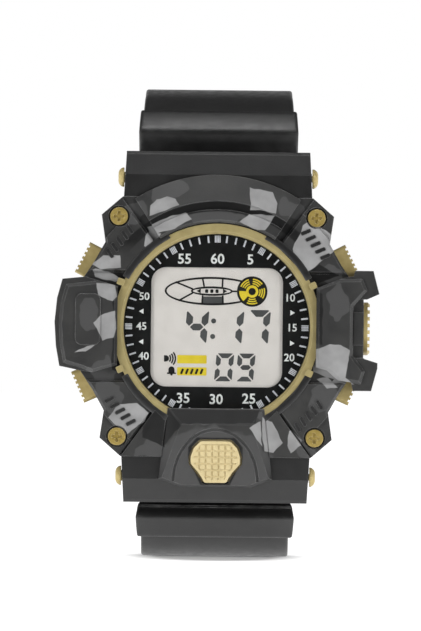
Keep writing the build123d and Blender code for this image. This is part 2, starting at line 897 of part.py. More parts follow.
# Upper arc shield, one turned profile
shield_profile = face_of(
    [
        (shield_inner_radius, bezel_face),
        (face_radius, bezel_face),
        (face_radius, bezel_face - shield_rim_height),
        (shield_groove_outer_radius, bezel_face - shield_height),
        (shield_groove_outer_radius, bezel_face - shield_groove_floor),
        (shield_groove_inner_radius, bezel_face - shield_groove_floor),
        (shield_groove_inner_radius, bezel_face - shield_band_height),
        (shield_inner_radius + shield_bevel, bezel_face - shield_band_height),
        (shield_inner_radius, bezel_face - shield_band_height + shield_bevel),
    ]
)
shield = revolve(shield_profile, Axis.Y, revolution_arc=shield_angle)
pieces["upper_shield"] = Rot(0, -90 - shield_angle / 2, 0) * shield

# Side guards, each a bevelled plate with a wing that reaches back past the case's side
overhang = disc(bezel_bore_radius + seat_gap, bezel_face, overhang_back)
side_line = core_quadrant_shares[-1][0] * face_radius + seat_gap
crown_web = Pos(far / 2, 0) * Rectangle(far, 2 * crown_web_half)
guard_forms = (
    ("left_guard", left_outline, left_plate, left_guard_step, -1),
    ("right_guard", right_outline, right_plate, right_guard_step, 1),
)
for name, outline, plate, step, side in guard_forms:
    guard = slab(plate, bezel_face, guard_front)
    guard = chamfer(guard.faces().sort_by(Axis.Y)[0].edges(), guard_chamfer)
    wing = outline & (Pos(side * (side_line + far / 2), 0) * Rectangle(far, far))
    if side < 0:
        guard += slab(outline, bezel_face, guard_front + step)
    if side > 0:
        guard += slab(outline - crown_web, bezel_face, guard_front + step)
        web = wing & crown_web
        web_front = guard_front + crown_web_step
        guard += slab(web, -crown_web_back, web_front)
        guard += slab(outline & crown_web, bezel_face, web_front)
        rib = Rectangle(far, 2 * crown_rib_half) & web
        guard += slab(rib, web_front, web_front - crown_rib_height)
        wing = wing - crown_web
    for face in wing.faces():
        guard += slab(face, -guard_wing_depth, bezel_face)
    guard -= overhang
    if side < 0:
        panel = Pos(-guard_panel_offset, guard_panel_lift) * RectangleRounded(
            guard_panel_width, guard_panel_length, guard_panel_radius
        )
        guard += slab(panel, guard_front, guard_front - guard_panel_height)
    pieces[name] = guard

# Lower shield round the front button: a straight foot and a bevelled cap
cap_back = lower_shield_front + lower_shield_bevel
lower = slab(lower_outline, bezel_face, cap_back)
cap_base = front_plane(cap_back) * lower_outline
cap_top = front_plane(lower_shield_front) * face_of(scaled(lower_shield_top_shares, face_radius))
lower += loft([cap_base, cap_top], ruled=True)
for face in wing_pair.faces():
    lower += slab(face, bezel_face, bezel_face - lower_shield_wing_height)
arch_outline = Ellipse(arch_half_width, arch_rise) - Ellipse(
    arch_half_width - arch_groove_width, arch_rise - arch_groove_width
)
arch_face = Pos(0, -arch_foot_height) * (arch_outline & (Pos(0, arch_rise / 2) * Rectangle(far, arch_rise)))
lower -= slab(arch_face, lower_shield_front + arch_groove_depth, lower_shield_front - cut_overrun)
window = offset(button_outline, free_gap, kind=Kind.INTERSECTION)
room_limit = offset(shield_face, -lower_shield_wall, kind=Kind.INTERSECTION)
flange_room = offset(button_outline, front_button_flange_margin + free_gap, kind=Kind.INTERSECTION)
flange_room = flange_room & room_limit
lower -= slab(window, bezel_face, lower_shield_front - cut_overrun)
lower -= slab(flange_room, bezel_face, lower_shield_front + lower_shield_lip)
lower -= overhang
pieces["lower_shield"] = lower

# Gold ring over the lens, lens and gasket
ring_profile = face_of(
    [
        (ring_inner_radius, lens_front),
        (ring_inner_radius, ring_front + ring_bevel),
        (ring_inner_radius + ring_bevel, ring_front),
        (ring_outer_radius, ring_front),
        (ring_outer_radius, -body_front),
        (ring_outer_radius - ring_skirt, -body_front),
        (ring_outer_radius - ring_skirt, lens_front),
    ]
)
ring_flats = slab(flatted(far, bore_flat_distance - seat_gap), -body_front, ring_front)
pieces["inner_ring"] = revolve(ring_profile, Axis.Y) & ring_flats
lens_profile = face_of(
    [
        (0, lens_back),
        (lens_radius, lens_back),
        (lens_radius, lens_front),
        (ring_inner_radius - seat_gap, lens_front),
        (ring_inner_radius - seat_gap - lens_bevel, lens_front - lens_bevel),
        (0, lens_front - lens_bevel),
    ]
)
pieces["lens"] = revolve(lens_profile, Axis.Y)
pieces["lens_gasket"] = ring(lens_radius, lens_radius - gasket_width, lens_seat, lens_back)

# Dial, display and module
dial_outline = Circle(cavity_radius - seat_gap) - RectangleRounded(window_width, window_height, window_radius)
pieces["dial_plate"] = slab(dial_outline, dial_back, dial_front)
panel_width = window_width + 2 * panel_margin
panel_height = window_height + 2 * panel_margin
panel_outline = RectangleRounded(panel_width, panel_height, panel_radius)
pieces["lcd_panel"] = slab(panel_outline, panel_back, dial_back + fit_gap)
pieces["backlight_panel"] = box_slab(light_width, light_height, light_front + light_thickness, light_front)
frame_piece = disc(module_radius, module_back, dial_back)
panel_room = RectangleRounded(panel_width + 2 * seat_gap, panel_height + 2 * seat_gap, panel_radius)
frame_piece -= slab(panel_room, panel_back, dial_back)
light_room_width = light_width + 2 * seat_gap
light_room_height = light_height + 2 * seat_gap
frame_piece -= box_slab(light_room_width, light_room_height, light_front + light_thickness, panel_back)
strips = []
for sz in (1, -1):
    frame_piece -= box_slab(
        contact_strip_length + 2 * seat_gap,
        contact_strip_width + 2 * seat_gap,
        module_back,
        panel_back,
        0.0,
        sz * contact_strip_height,
    )
    strip_height = sz * contact_strip_height
    strip = box_slab(
        contact_strip_length, contact_strip_width, module_back, panel_back, 0.0, strip_height
    )
    strips.append(one_solid(strip))
pieces["contact_strips"] = Compound(children=strips)
chip_room = chip_size + 2 * free_gap
chip_front = module_back - chip_thickness
frame_piece -= box_slab(chip_room, chip_room, module_back, chip_front - seat_gap, chip_offset, 0.0)
leaf_room = Circle(notch_inner_radius) - Circle(notch_inner_radius - free_gap - 2 * leaf_thickness)
frame_piece -= slab(leaf_room, module_back, module_back - leaf_height - seat_gap)
frame_piece -= module_notch
pieces["module_frame"] = frame_piece
pieces["button_contacts"] = Compound(children=[one_solid(leaf) for leaf in leaves])
pieces["circuit_board"] = disc(board_radius, board_back, module_back) - module_notch
pieces["controller_chip"] = box_slab(chip_size, chip_size, module_back, chip_front, chip_offset, 0.0)
holder = disc(board_radius, holder_back, board_back) - module_notch
holder -= disc(battery_radius + seat_gap, holder_back, board_back, -battery_offset, 0.0)
holder -= box_slab(
    crystal_length + 2 * seat_gap,
    2 * crystal_radius + 2 * seat_gap,
    board_back + 2 * crystal_radius + seat_gap,
    board_back,
    0.0,
    crystal_lift,
)
holder -= disc(buzzer_spring_radius + free_gap, holder_back, board_back, buzzer_spring_offset, 0.0)
pieces["battery_holder"] = holder
crystal_end = (-crystal_length / 2, board_back + crystal_radius, crystal_lift)
crystal_plane = Plane(origin=crystal_end, x_dir=(0, 1, 0), z_dir=(1, 0, 0))
pieces["quartz_crystal"] = extrude(crystal_plane * Circle(crystal_radius), amount=crystal_length)
battery_front = board_back + fit_gap
battery_step = board_back + battery_rim
battery = disc(battery_radius, battery_front + battery_thickness, battery_step, -battery_offset, 0.0)
battery += disc(battery_radius - 2 * battery_rim, battery_step, battery_front, -battery_offset, 0.0)
pieces["battery"] = battery
clip_plate = box_slab(clip_plate_width, clip_plate_length, clip_back, holder_back, -battery_offset, 0.0)
for sx in (1, -1):
    clip_plate -= box_slab(
        clip_plate_slot_width,
        clip_plate_slot_length,
        clip_back,
        holder_back,
        -battery_offset + sx * clip_plate_slot_width,
        0.0,
    )
pieces["battery_clip"] = clip_plate
pieces["module_pad"] = ring(pad_outer_radius, pad_inner_radius, boss_front, clip_back)
pieces["buzzer_disc"] = disc(buzzer_radius, body_back, body_back - buzzer_thickness, buzzer_offset, 0.0)
pieces["buzzer_spring"] = ring(
    buzzer_spring_radius,
    buzzer_spring_radius - buzzer_spring_wall,
    body_back - buzzer_thickness,
    board_back,
    buzzer_spring_offset,
    0.0,
)

# Case back with its gasket and screws
back_outline = RectangleRounded(2 * back_half_width, 2 * back_half_width, back_corner_radius)
back = slab(back_outline, back_face, body_back)
back = chamfer(back.faces().sort_by(Axis.Y)[-1].edges(), back_chamfer)
back += ring(
    cavity_radius - back_boss_gap, cavity_radius - back_boss_gap - back_boss_width, body_back, boss_front
)
back_screws = []
for sx in (1, -1):
    for sz in (1, -1):
        x, z = sx * back_screw_spacing, sz * back_screw_spacing
        head_seat = back_face - back_screw_head_height
        back -= disc(back_screw_head_radius + seat_gap, back_face, head_seat, x, z)
        back -= disc(screw_shank_radius + fit_gap, back_face, body_back, x, z)
        screw = disc(back_screw_head_radius, back_face, head_seat, x, z)
        screw += disc(screw_shank_radius, head_seat, head_seat - back_screw_length, x, z)
        long_arm = Rectangle(2 * cross_arm_length, driver_slot_width)
        for arm in (long_arm, Rectangle(driver_slot_width, cross_arm_length)):
            screw -= slab(Pos(x, z) * arm, back_face + cut_overrun, back_face - driver_slot_depth)
        back_screws.append(one_solid(screw))
pieces["case_back"] = back
pieces["back_screws"] = Compound(children=back_screws)
pieces["back_gasket"] = ring(
    groove_outer - fit_gap, groove_inner + fit_gap, body_back, body_back - back_gasket_depth
)

# Strap pins with one fixed head and one screwed cap each
head_plane_x = hood_root_half_width
caps = []
for name, side in (("upper_pin", 1), ("lower_pin", -1)):
    centre = (pin_depth, side * pin_height)
    bar = Plane(origin=(-head_plane_x, *centre), x_dir=(0, 1, 0), z_dir=(1, 0, 0)) * Circle(pin_radius)
    bar = extrude(bar, amount=2 * head_plane_x - seat_gap)
    left = Plane(origin=(-head_plane_x, *centre), x_dir=(0, 1, 0), z_dir=(-1, 0, 0))
    right = Plane(origin=(head_plane_x, *centre), x_dir=(0, 1, 0), z_dir=(1, 0, 0))
    screw_room = Plane(origin=(head_plane_x, *centre), x_dir=(0, 1, 0), z_dir=(-1, 0, 0))
    bar += left.location * domed_head(pin_head_radius, pin_head_height, pin_head_dome)
    stub_room = screw_room * Circle(pin_cap_stub_radius + fit_gap)
    bar -= extrude(stub_room, amount=pin_cap_stub_length + seat_gap)
    pieces[name] = bar
    cap = right.location * domed_head(pin_head_radius, pin_head_height, pin_head_dome)
    cap += extrude(screw_room * Circle(pin_cap_stub_radius), amount=pin_cap_stub_length)
    caps.append(one_solid(cap))
pieces["pin_caps"] = Compound(children=caps)


# A strap's centre line in the side view: arcs and straight runs from the pin
def direction(angle):
    return (math.cos(math.radians(angle)), math.sin(math.radians(angle)))


def walk(start, heading, steps):
    places = [(start, heading)]
    for kind, size, turn in steps:
        y, z = places[-1][0]
        if kind == "line":
            dy, dz = direction(heading)
            y, z = y + size * dy, z + size * dz
        else:
            bend = 1 if turn > 0 else -1
            a0, a1 = math.radians(heading), math.radians(heading + turn)
            y = y + bend * size * (math.sin(a1) - math.sin(a0))
            z = z - bend * size * (math.cos(a1) - math.cos(a0))
            heading = heading + turn
        places.append(((y, z), heading))
    return places


# One face of a strap that follows the centre line at a set distance to its left
def offset_chain(start, heading, steps, distance):
    dy, dz = direction(heading)
    point = Vector(start[0] - distance * dz, start[1] + distance * dy)
    edges = []
    for kind, size, turn in steps:
        tangent = direction(heading)
        if kind == "line":
            edges.append(Line(point, point + Vector(*tangent) * size))
        else:
            radius = size - distance if turn > 0 else size + distance
            edges.append(JernArc(start=point, tangent=tangent, radius=radius, arc_size=turn))
            heading = heading + turn
        point = edges[-1] @ 1
    return edges


def strap_profile(start, heading, steps, left, right):
    outer = offset_chain(start, heading, steps, left)
    inner = offset_chain(start, heading, steps, -right)
    ends = [Line(outer[0] @ 0, inner[0] @ 0), Line(outer[-1] @ 1, inner[-1] @ 1)]
    return make_face(Wire(Curve() + outer + inner + ends))


# A point beside a place on a strap's centre line, positive to the left
def beside(place, distance):
    (y, z), heading = place
    dy, dz = direction(heading)
    return (y - distance * dz, z + distance * dy)


# What is cut off between a hump's crest and its foot at the case
def hump_cut(crest, foot, side):
    top = strap_half_thickness + strap_hump_thickness
    low = strap_half_thickness - strap_hump_foot
    return face_of(
        [
            beside(crest, side * top),
            beside(foot, side * low),
            beside(foot, side * (low + 2 * top)),
            beside(crest, side * 2 * top),
        ]
    )


def plan_mask(shares, reach, half_width, depth_from):
    right = [(x * half_width, depth_from + y * reach) for y, x in shares]
    outline = right + [(-x, y) for x, y in reversed(right)]
    return extrude(Plane.XY * face_of(outline), amount=4 * face_radius, both=True)


def across_plane(place, heading):
    dy, dz = direction(heading)
    return Plane(origin=(0, *place), x_dir=(1, 0, 0), z_dir=(0, dy, dz))


# Short strap over the top and down the back
upper_start = (pin_depth, pin_height)
upper_steps = [
    ("arc", upper_first_radius, -upper_first_turn),
    ("arc", upper_second_radius, -upper_second_turn),
    ("line", upper_straight_length, 0.0),
]
upper_places = walk(upper_start, upper_first_angle, upper_steps)
bar_place, bar_heading = upper_places[-1]
upper_profile = strap_profile(
    upper_start, upper_first_angle, upper_steps, strap_half_thickness, strap_half_thickness
)
upper_profile += Pos(*upper_start) * Circle(knuckle_radius)
upper_profile += Pos(*bar_place) * Circle(bar_knuckle_radius)


# The place on the short strap's first bend where it points at an angle
def upper_place(angle):
    return walk(upper_start, upper_first_angle, [("arc", upper_first_radius, angle - upper_first_angle)])[-1]


hump_place = upper_place(upper_hump_start)
hump_steps = [("arc", upper_first_radius, upper_hump_end - upper_hump_start)]
upper_profile += strap_profile(
    *hump_place, hump_steps, strap_half_thickness + strap_hump_thickness, strap_half_thickness / 2
)
upper_profile -= hump_cut(upper_place(upper_hump_crest), upper_place(upper_hump_foot), 1)
upper = wide(upper_profile, strap_half_width)
upper &= plan_mask(upper_plan_shares, bar_place[0] - pin_depth, strap_half_width, pin_depth)
strap_pin_bore = side_plane * Pos(*upper_start) * Circle(pin_radius + fit_gap)
upper -= extrude(strap_pin_bore, amount=strap_half_width + cut_overrun, both=True)
bar_bore = side_plane * Pos(*bar_place) * Circle(bar_radius)
upper -= extrude(bar_bore, amount=strap_half_width + cut_overrun, both=True)
notch_plane = across_plane(bar_place, bar_heading)
tongue_room = 2 * (tongue_half_width + free_gap)
tongue_notch = notch_plane * Rectangle(tongue_room, 4 * strap_half_thickness)
upper -= extrude(tongue_notch, amount=tongue_notch_depth, both=True)
middle_place = walk(upper_start, upper_first_angle, upper_steps[:2])[-1]
for place in range(strap_groove_count):
    turn = -(place + 2) * strap_groove_pitch * 180 / math.pi / upper_second_radius
    spot = walk(upper_places[1][0], upper_places[1][1], [("arc", upper_second_radius, 2 * turn)])[-1]
    plane = across_plane(spot[0], spot[1])
    groove = plane * Pos(0, -strap_half_thickness) * Rectangle(strap_half_width, 2 * strap_groove_depth)
    upper -= extrude(groove, amount=strap_groove_width / 2, both=True)
pieces["upper_strap"] = upper

# Long strap under the case, flat where the watch stands, then up behind
lower_start = (pin_depth, -pin_height)
lower_steps = [
    ("line", lower_drop_length, 0.0),
    ("arc", lower_first_radius, lower_first_angle),
    ("line", lower_flat_length, 0.0),
    ("arc", lower_tail_radius, lower_tail_turn),
]
lower_places = walk(lower_start, -lower_first_angle, lower_steps)
tip_place, tip_heading = lower_places[-1]
lower_profile = strap_profile(
    lower_start, -lower_first_angle, lower_steps, strap_half_thickness, strap_half_thickness
)
lower_profile += Pos(*lower_start) * Circle(knuckle_radius)
lower_drop = ("line", lower_drop_length, 0.0)
hump_lead = [lower_drop, ("arc", lower_first_radius, lower_first_angle - lower_hump_start)]
hump_place = walk(lower_start, -lower_first_angle, hump_lead)[-1]
hump_steps = [("arc", lower_first_radius, lower_hump_start - lower_hump_end)]
lower_profile += strap_profile(
    *hump_place, hump_steps, strap_half_thickness / 2, strap_half_thickness + strap_hump_thickness
)
crest_lead = [lower_drop, ("arc", lower_first_radius, lower_first_angle - lower_hump_crest)]
lower_foot, lower_crest = walk(lower_start, -lower_first_angle, crest_lead)[-2:]
lower_profile -= hump_cut(lower_crest, lower_foot, -1)
lower_strap = wide(lower_profile, strap_half_width)
lower_strap &= plan_mask(lower_plan_shares, tip_place[0] - pin_depth, strap_half_width, pin_depth)
tip_edges = []
for edge in lower_strap.edges():
    spot = edge @ 0.5
    near_tip = (spot - Vector(spot.X, *tip_place)).length < strap_half_thickness / 4
    if near_tip and abs(spot.X) > strap_half_width / 2:
        tip_edges.append(edge)
lower_strap = fillet(tip_edges, lower_tip_radius)
strap_pin_bore = side_plane * Pos(*lower_start) * Circle(pin_radius + fit_gap)
lower_strap -= extrude(strap_pin_bore, amount=strap_half_width + cut_overrun, both=True)
for place in range(strap_hole_count):
    back_turn = (strap_hole_first_length + place * strap_hole_pitch) * 180 / math.pi / lower_tail_radius
    turn = lower_tail_turn - back_turn
    spot = walk(lower_places[3][0], lower_places[3][1], [("arc", lower_tail_radius, turn)])[-1]
    dy, dz = direction(spot[1])
    plane = Plane(origin=(0, *spot[0]), x_dir=(1, 0, 0), z_dir=(0, -dz, dy))
    lower_strap -= extrude(plane * Circle(strap_hole_radius), amount=2 * strap_half_thickness, both=True)
pieces["lower_strap"] = lower_strap

# Keeper loop round the straight end of the short strap
dy, dz = direction(bar_heading)
keeper_centre = (middle_place[0][0] + keeper_place_length * dy, middle_place[0][1] + keeper_place_length * dz)
keeper_half = (upper_plan_shares[-1][1] + upper_plan_shares[-2][1]) / 2 * strap_half_width + free_gap
inner_depth = 2 * strap_half_thickness + 2 * free_gap + keeper_layer_thickness
shift = -keeper_layer_thickness / 2
keeper_outline = Pos(0, shift) * (
    RectangleRounded(2 * (keeper_half + keeper_wall), inner_depth + 2 * keeper_wall, keeper_wall)
    - Rectangle(2 * keeper_half, inner_depth)
)
keeper_plane = across_plane(keeper_centre, bar_heading)
keeper = extrude(keeper_plane * keeper_outline, amount=keeper_width / 2, both=True)
pieces["strap_keeper"] = keeper

# Buckle: bar through the strap's end, frame that hangs from it and tongue on the bar
bar_plane = Plane(origin=(0, *bar_place), x_dir=(0, 1, 0), z_dir=(1, 0, 0))
pieces["buckle_bar"] = extrude(bar_plane * Circle(bar_radius), amount=bar_half_length, both=True)
hang = front_plane(bar_place[0] + buckle_thickness / 2)
frame_height = buckle_length + buckle_boss_radius
outer_shape = Pos(0, bar_place[1] - buckle_length + frame_height / 2) * RectangleRounded(
    2 * buckle_arm_outer, frame_height, buckle_corner_radius / 2
)
window_height_frame = buckle_length - buckle_end_width + cut_overrun
window_middle = bar_place[1] - buckle_length + buckle_end_width + window_height_frame / 2
inner_shape = Pos(0, window_middle) * RectangleRounded(
    2 * buckle_arm_inner, window_height_frame, buckle_corner_radius / 2
)
buckle = extrude(hang * (outer_shape - inner_shape), amount=buckle_thickness)
buckle_eye = bar_plane * Circle(bar_radius + fit_gap)
buckle -= extrude(buckle_eye, amount=buckle_arm_outer + cut_overrun, both=True)
pieces["buckle_frame"] = buckle
tongue_back = bar_place[0] + buckle_thickness / 2 + free_gap
tongue_tip = bar_place[1] - buckle_length + buckle_end_width / 4
tongue_profile = face_of(
    [
        (bar_place[0], bar_place[1] + tongue_eye_radius),
        (bar_place[0] + tongue_eye_radius, bar_place[1]),
        (tongue_back + tongue_thickness, bar_place[1] - tongue_notch_depth),
        (tongue_back + tongue_thickness, tongue_tip),
        (tongue_back, tongue_tip),
        (tongue_back, bar_place[1] - tongue_notch_depth),
        (bar_place[0], bar_place[1] - tongue_eye_radius),
    ]
)
tongue_profile += Pos(*bar_place) * Circle(tongue_eye_radius)
tongue = wide(tongue_profile, tongue_half_width)
tongue -= extrude(bar_plane * Circle(bar_radius + fit_gap), amount=tongue_half_width + cut_overrun, both=True)
pieces["buckle_tongue"] = tongue

# Move the watch so that the origin is the middle of its footprint, then write each piece
boxes = [shape.bounding_box() for shape in pieces.values()]
low = [min(getattr(b.min, axis) for b in boxes) for axis in ("X", "Y", "Z")]
high = [max(getattr(b.max, axis) for b in boxes) for axis in ("X", "Y", "Z")]
move = Pos(-(low[0] + high[0]) / 2, -(low[1] + high[1]) / 2, -low[2])
for name, shape in pieces.items():
    solids = [move * s for s in shape.solids()]
    whole = solids[0] if len(solids) == 1 else Compound(children=solids)
    export_step(whole, "parts/" + name + ".step")
print("moved by", [round(v, 4) for v in (-(low[0] + high[0]) / 2, -(low[1] + high[1]) / 2, -low[2])])
print("size", [round(high[i] - low[i], 3) for i in range(3)])
print("bar at", [round(v, 4) for v in bar_place], "heading", round(bar_heading, 3))
print("tip at", [round(v, 4) for v in tip_place], "heading", round(tip_heading, 3))
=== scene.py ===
import json
import math

import bmesh
import bpy
from mathutils import Matrix, Vector


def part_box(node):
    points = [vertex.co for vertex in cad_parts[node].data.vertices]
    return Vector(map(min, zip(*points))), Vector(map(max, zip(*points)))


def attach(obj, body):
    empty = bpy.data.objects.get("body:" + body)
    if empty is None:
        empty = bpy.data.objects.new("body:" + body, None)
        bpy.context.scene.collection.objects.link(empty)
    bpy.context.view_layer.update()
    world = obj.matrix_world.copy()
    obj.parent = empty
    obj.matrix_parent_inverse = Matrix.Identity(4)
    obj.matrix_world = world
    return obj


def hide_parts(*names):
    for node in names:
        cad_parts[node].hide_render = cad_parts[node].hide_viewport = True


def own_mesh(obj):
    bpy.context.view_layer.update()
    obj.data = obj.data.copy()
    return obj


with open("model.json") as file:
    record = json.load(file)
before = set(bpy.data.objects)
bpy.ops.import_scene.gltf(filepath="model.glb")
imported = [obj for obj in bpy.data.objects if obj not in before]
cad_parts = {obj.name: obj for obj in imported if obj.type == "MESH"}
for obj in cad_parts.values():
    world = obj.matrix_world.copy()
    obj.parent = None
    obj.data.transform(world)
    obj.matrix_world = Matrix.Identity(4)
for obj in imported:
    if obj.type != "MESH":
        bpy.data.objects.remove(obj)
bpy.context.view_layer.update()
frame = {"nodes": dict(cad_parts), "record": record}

# A rugged digital wristwatch, standing on its lower strap with the dial towards -Y.
# Lengths are millimetres until a piece is finished, unless a comment says metres.
MM = 0.001
# Points nearer to each other than this are one point: in metres, and in millimetres before a piece is finished
WELD = 1e-7
DRAWN_WELD = 0.001
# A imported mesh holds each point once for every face, within this many metres
PACKED_WELD = 2e-6
SMOOTH_ANGLE = 40.0
SHARP_ANGLE = 35.0
FLAT_ANGLE = 0.6
nodes = frame["nodes"]


def middle(node):
    low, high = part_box(node)
    return (low + high) / 2


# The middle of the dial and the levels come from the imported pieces, in metres
DIAL_X = middle("dial_plate").x
DIAL_Z = middle("dial_plate").z
DIAL_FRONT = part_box("dial_plate")[0].y
DISPLAY_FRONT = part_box("lcd_panel")[0].y
BEZEL_BLOCK_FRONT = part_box("bezel")[0].y
RING_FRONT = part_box("inner_ring")[0].y

# Printed marks on the dial
PRINT_HEIGHT = 0.03
TICK_OUTER = 15.05
TICK_LENGTH = 1.15
TICK_WIDTH = 0.28
BLOCK_WIDTH = 0.94
BLOCK_BARS = 4
BLOCK_BAR_GAP = 0.07
TICK_COUNT = 60
TICKS_PER_BLOCK = 5
TICK_CORNER = 0.05
NUMERAL_WEIGHT = 0.02
NUMERAL_SIZE = 2.3
SMALL_NUMERAL_SIZE = 1.75
NUMERALS = [
    ("60", 0.0, 11.15, NUMERAL_SIZE),
    ("5", 5.4, 11.1, NUMERAL_SIZE),
    ("55", -5.4, 11.1, NUMERAL_SIZE),
    ("10", 11.95, 4.9, SMALL_NUMERAL_SIZE),
    ("15", 12.35, 0.0, SMALL_NUMERAL_SIZE),
    ("20", 11.95, -4.9, SMALL_NUMERAL_SIZE),
    ("25", 5.4, -11.75, NUMERAL_SIZE),
    ("30", 0.0, -11.9, NUMERAL_SIZE),
    ("35", -5.4, -11.75, NUMERAL_SIZE),
    ("40", -11.95, -4.9, SMALL_NUMERAL_SIZE),
    ("45", -12.35, 0.0, SMALL_NUMERAL_SIZE),
    ("50", -11.95, 4.9, SMALL_NUMERAL_SIZE),
]
ARROWS = [(12.3, 2.5, 0.0), (12.3, -2.5, 0.0), (-12.3, 2.5, math.pi), (-12.3, -2.5, math.pi)]
ARROW_RADIUS = 0.5

# Liquid crystal marks: digits are (digit, x, y), and their size is width, height and bar
SEGMENT_HEIGHT = 0.02
SEGMENT_SLANT = math.tan(math.radians(5.0))
HOUR_DIGITS = [("4", -3.3, 0.0), ("1", 2.46, 0.0), ("7", 6.8, 0.0)]
HOUR_DIGIT_SIZE = (3.66, 5.8, 1.12)
SECOND_DIGITS = [("0", 1.28, -6.56), ("9", 4.79, -6.56)]
SECOND_DIGIT_SIZE = (2.9, 4.6, 0.8)
COLON_DOTS = [(-0.52, 1.03), (-0.66, -1.52)]
COLON_RADIUS = 0.42
SEGMENT_GAP = 0.22
CORNER_REACH = 0.42
LIT = {
    "0": "abcdef",
    "1": "bc",
    "4": "bcfg",
    "7": "abc",
    "9": "abcdfg",
}
OVAL_CENTRE = (-0.87, 5.92)
OVAL_HALF = (7.74, 2.34)
OVAL_INNER_HALF = (3.45, 0.78)
OVAL_LINE = 0.34
OVAL_SPOKE_LINE = 0.85 * OVAL_LINE
OVAL_ARROW = (2.05, 0.46)
OVAL_SQUARE_PITCH = 0.85
OVAL_SQUARE = (0.52, 0.6, 0.1)
# Ends of the lines between the two ovals, from their middle
OVAL_SPOKES = [
    (-1.57, 2.24, -1.26, 0.74),
    (1.78, 2.22, 1.72, 0.68),
    (-5.96, 1.45, -3.1, 0.3),
    (-5.44, -1.62, -3.1, -0.3),
    (3.4, 0.0, 4.6, 0.0),
    (-1.6, -2.22, -1.5, -0.72),
    (1.85, -2.2, 1.8, -0.7),
]
# The solid block in the oval: x and y from its middle, length and width
OVAL_DAY = (0.12, -1.5, 3.3, 1.25)
# Wheel: radii of the hub, arms by the angle of their middle and whether arcs cross them, radii of the arcs
WHEEL_CENTRE = (5.75, 5.92)
WHEEL_RADIUS = 2.5
WHEEL_HUB = (0.6, 1.02)
WHEEL_ARMS = [(132.0, True), (62.0, True), (-8.0, True), (-90.0, True), (203.0, False)]
WHEEL_ARM_HALF = 25.0
WHEEL_ARCS = [(1.2, 1.4), (1.56, 1.76), (1.92, 2.12)]
# Yellow bars: x, y, length and width
BARS = [(-4.02, -5.31, 4.83, 1.38), (-4.02, -7.29, 4.83, 1.34)]
BAR_CORNER = 0.08
# Horn: body's offset, length and width; mouth's radius; ripples' offset, first radius, pitch, width and half angle
HORN_CENTRE = (-8.3, -5.2)
HORN_BODY = (-0.14, 0.34, 1.05)
HORN_MOUTH = 0.52
HORN_RIPPLE_COUNT = 3
HORN_RIPPLE = (-0.1, 0.74, 0.4, 0.25, 0.66)
# Bell: crown's rise and radius; body and brim as rise, length, width and corner; clapper's rise and radius
BELL_CENTRE = (-7.36, -7.2)
BELL_CROWN = (0.2, 0.5)
BELL_BARS = [(-0.08, 1.0, 0.56, 0.0), (-0.42, 1.5, 0.24, 0.05)]
BELL_CLAPPER = (-0.62, 0.2)
# Slashes on the lower bar: pitch, length, width, corner and lean
SLASH_COUNT = 5
SLASH = (0.8, 0.92, 0.36, 0.06)
SLASH_LEAN = math.radians(68.0)

# Raised dashes on the four corner blocks: middle of each row and its turn
BLOCK_MARKS = [(16.05, 13.75, -51.0), (-16.05, 13.95, 51.0), (15.2, -14.4, 46.0), (-15.7, -13.9, -46.0)]
DASH_COUNT = 5
DASH_PITCH = 1.28
DASH_LENGTH = 1.75
DASH_WIDTH = 0.62
DASH_HEIGHT = 0.2
DASH_LEAN = 0.28
DASH_CORNER = 0.15

# Resin lips that round the bezel's opening in its four corners: radii and the angles they span
LIP_INNER = 16.45
LIP_OUTER = 17.6
LIP_HEIGHT = 0.35
LIP_EDGE = 0.1
LIP_RISE = 0.1
LIP_SPANS = [(28, 62), (118, 152), (208, 242), (298, 332)]
# Small gold tabs of the ring in the bezel's four notches: middle and turn
RING_TABS = [(-15.8, 7.3, 72.0), (-15.8, -7.0, -66.0), (15.7, 6.95, -66.0), (15.2, -7.4, 66.0)]
RING_TAB_LENGTH = 1.1
RING_TAB_WIDTH = 1.2
RING_TAB_HEIGHT = 0.9
RING_TAB_CORNER = 0.12
RING_TAB_RISE = 0.3

# Strap edges
STRAP_EDGE = 0.4

# Camera: the picture's size and the dial's middle on it, in picture points
PHOTO_WIDTH = 421
PHOTO_HEIGHT = 631
PIXELS_PER_MM = 6.1
DIAL_PIXEL_X = 216.9
DIAL_PIXEL_Y = 327.2
CAMERA_ROLL = math.radians(0.62)
# In metres, and near enough that views from other sides stay inside the far clip
CAMERA_DISTANCE = 3.0
FAR_CLIP = 20.0
SENSOR_LONG_SIDE = 36.0

# Light: levels of the world, and where its dark front and top start, as cosines
AMBIENT = 0.3
FRONT_START = 0.2
FRONT_FULL = 0.75
FRONT_DARK = 0.04
ABOVE_START = 0.1
ABOVE_FULL = 0.5
ABOVE_DARK = 0.12

# Floor: sizes in metres; the painted shadow oval's start and end are shares of its half sizes, the rest are levels
FLOOR_HALF_WIDTH = 6.0
SHADE_MIDDLE_Y = -0.042
SHADE_HALF = (0.0125, 0.052)
SHADE_START = 0.75
SHADE_END = 1.35
FLOOR_GLOW = 0.0
FLOOR_FILL = 0.45
FLOOR_MIRRORED = 0.75
FLOOR_FRONT_NEAR = -0.1
FLOOR_FRONT_FAR = -0.3


# Shapes

def finish_piece(name, bm, body, material, place=Matrix.Identity(4), smooth=None):
    """Moves the bmesh to its place, makes it an object and ties it to a body and a material slot."""
    bmesh.ops.recalc_face_normals(bm, faces=bm.faces[:])
    bm.transform(place)
    bmesh.ops.dissolve_degenerate(bm, dist=WELD, edges=bm.edges[:])
    mesh = bpy.data.meshes.new(name)
    bm.to_mesh(mesh)
    bm.free()
    piece = bpy.data.objects.new(name, mesh)
    bpy.context.scene.collection.objects.link(piece)
    mesh.materials.append(material)
    if smooth is not None:
        mesh.shade_smooth()
        mesh.set_sharp_from_angle(angle=math.radians(smooth))
    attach(piece, body)
    return piece


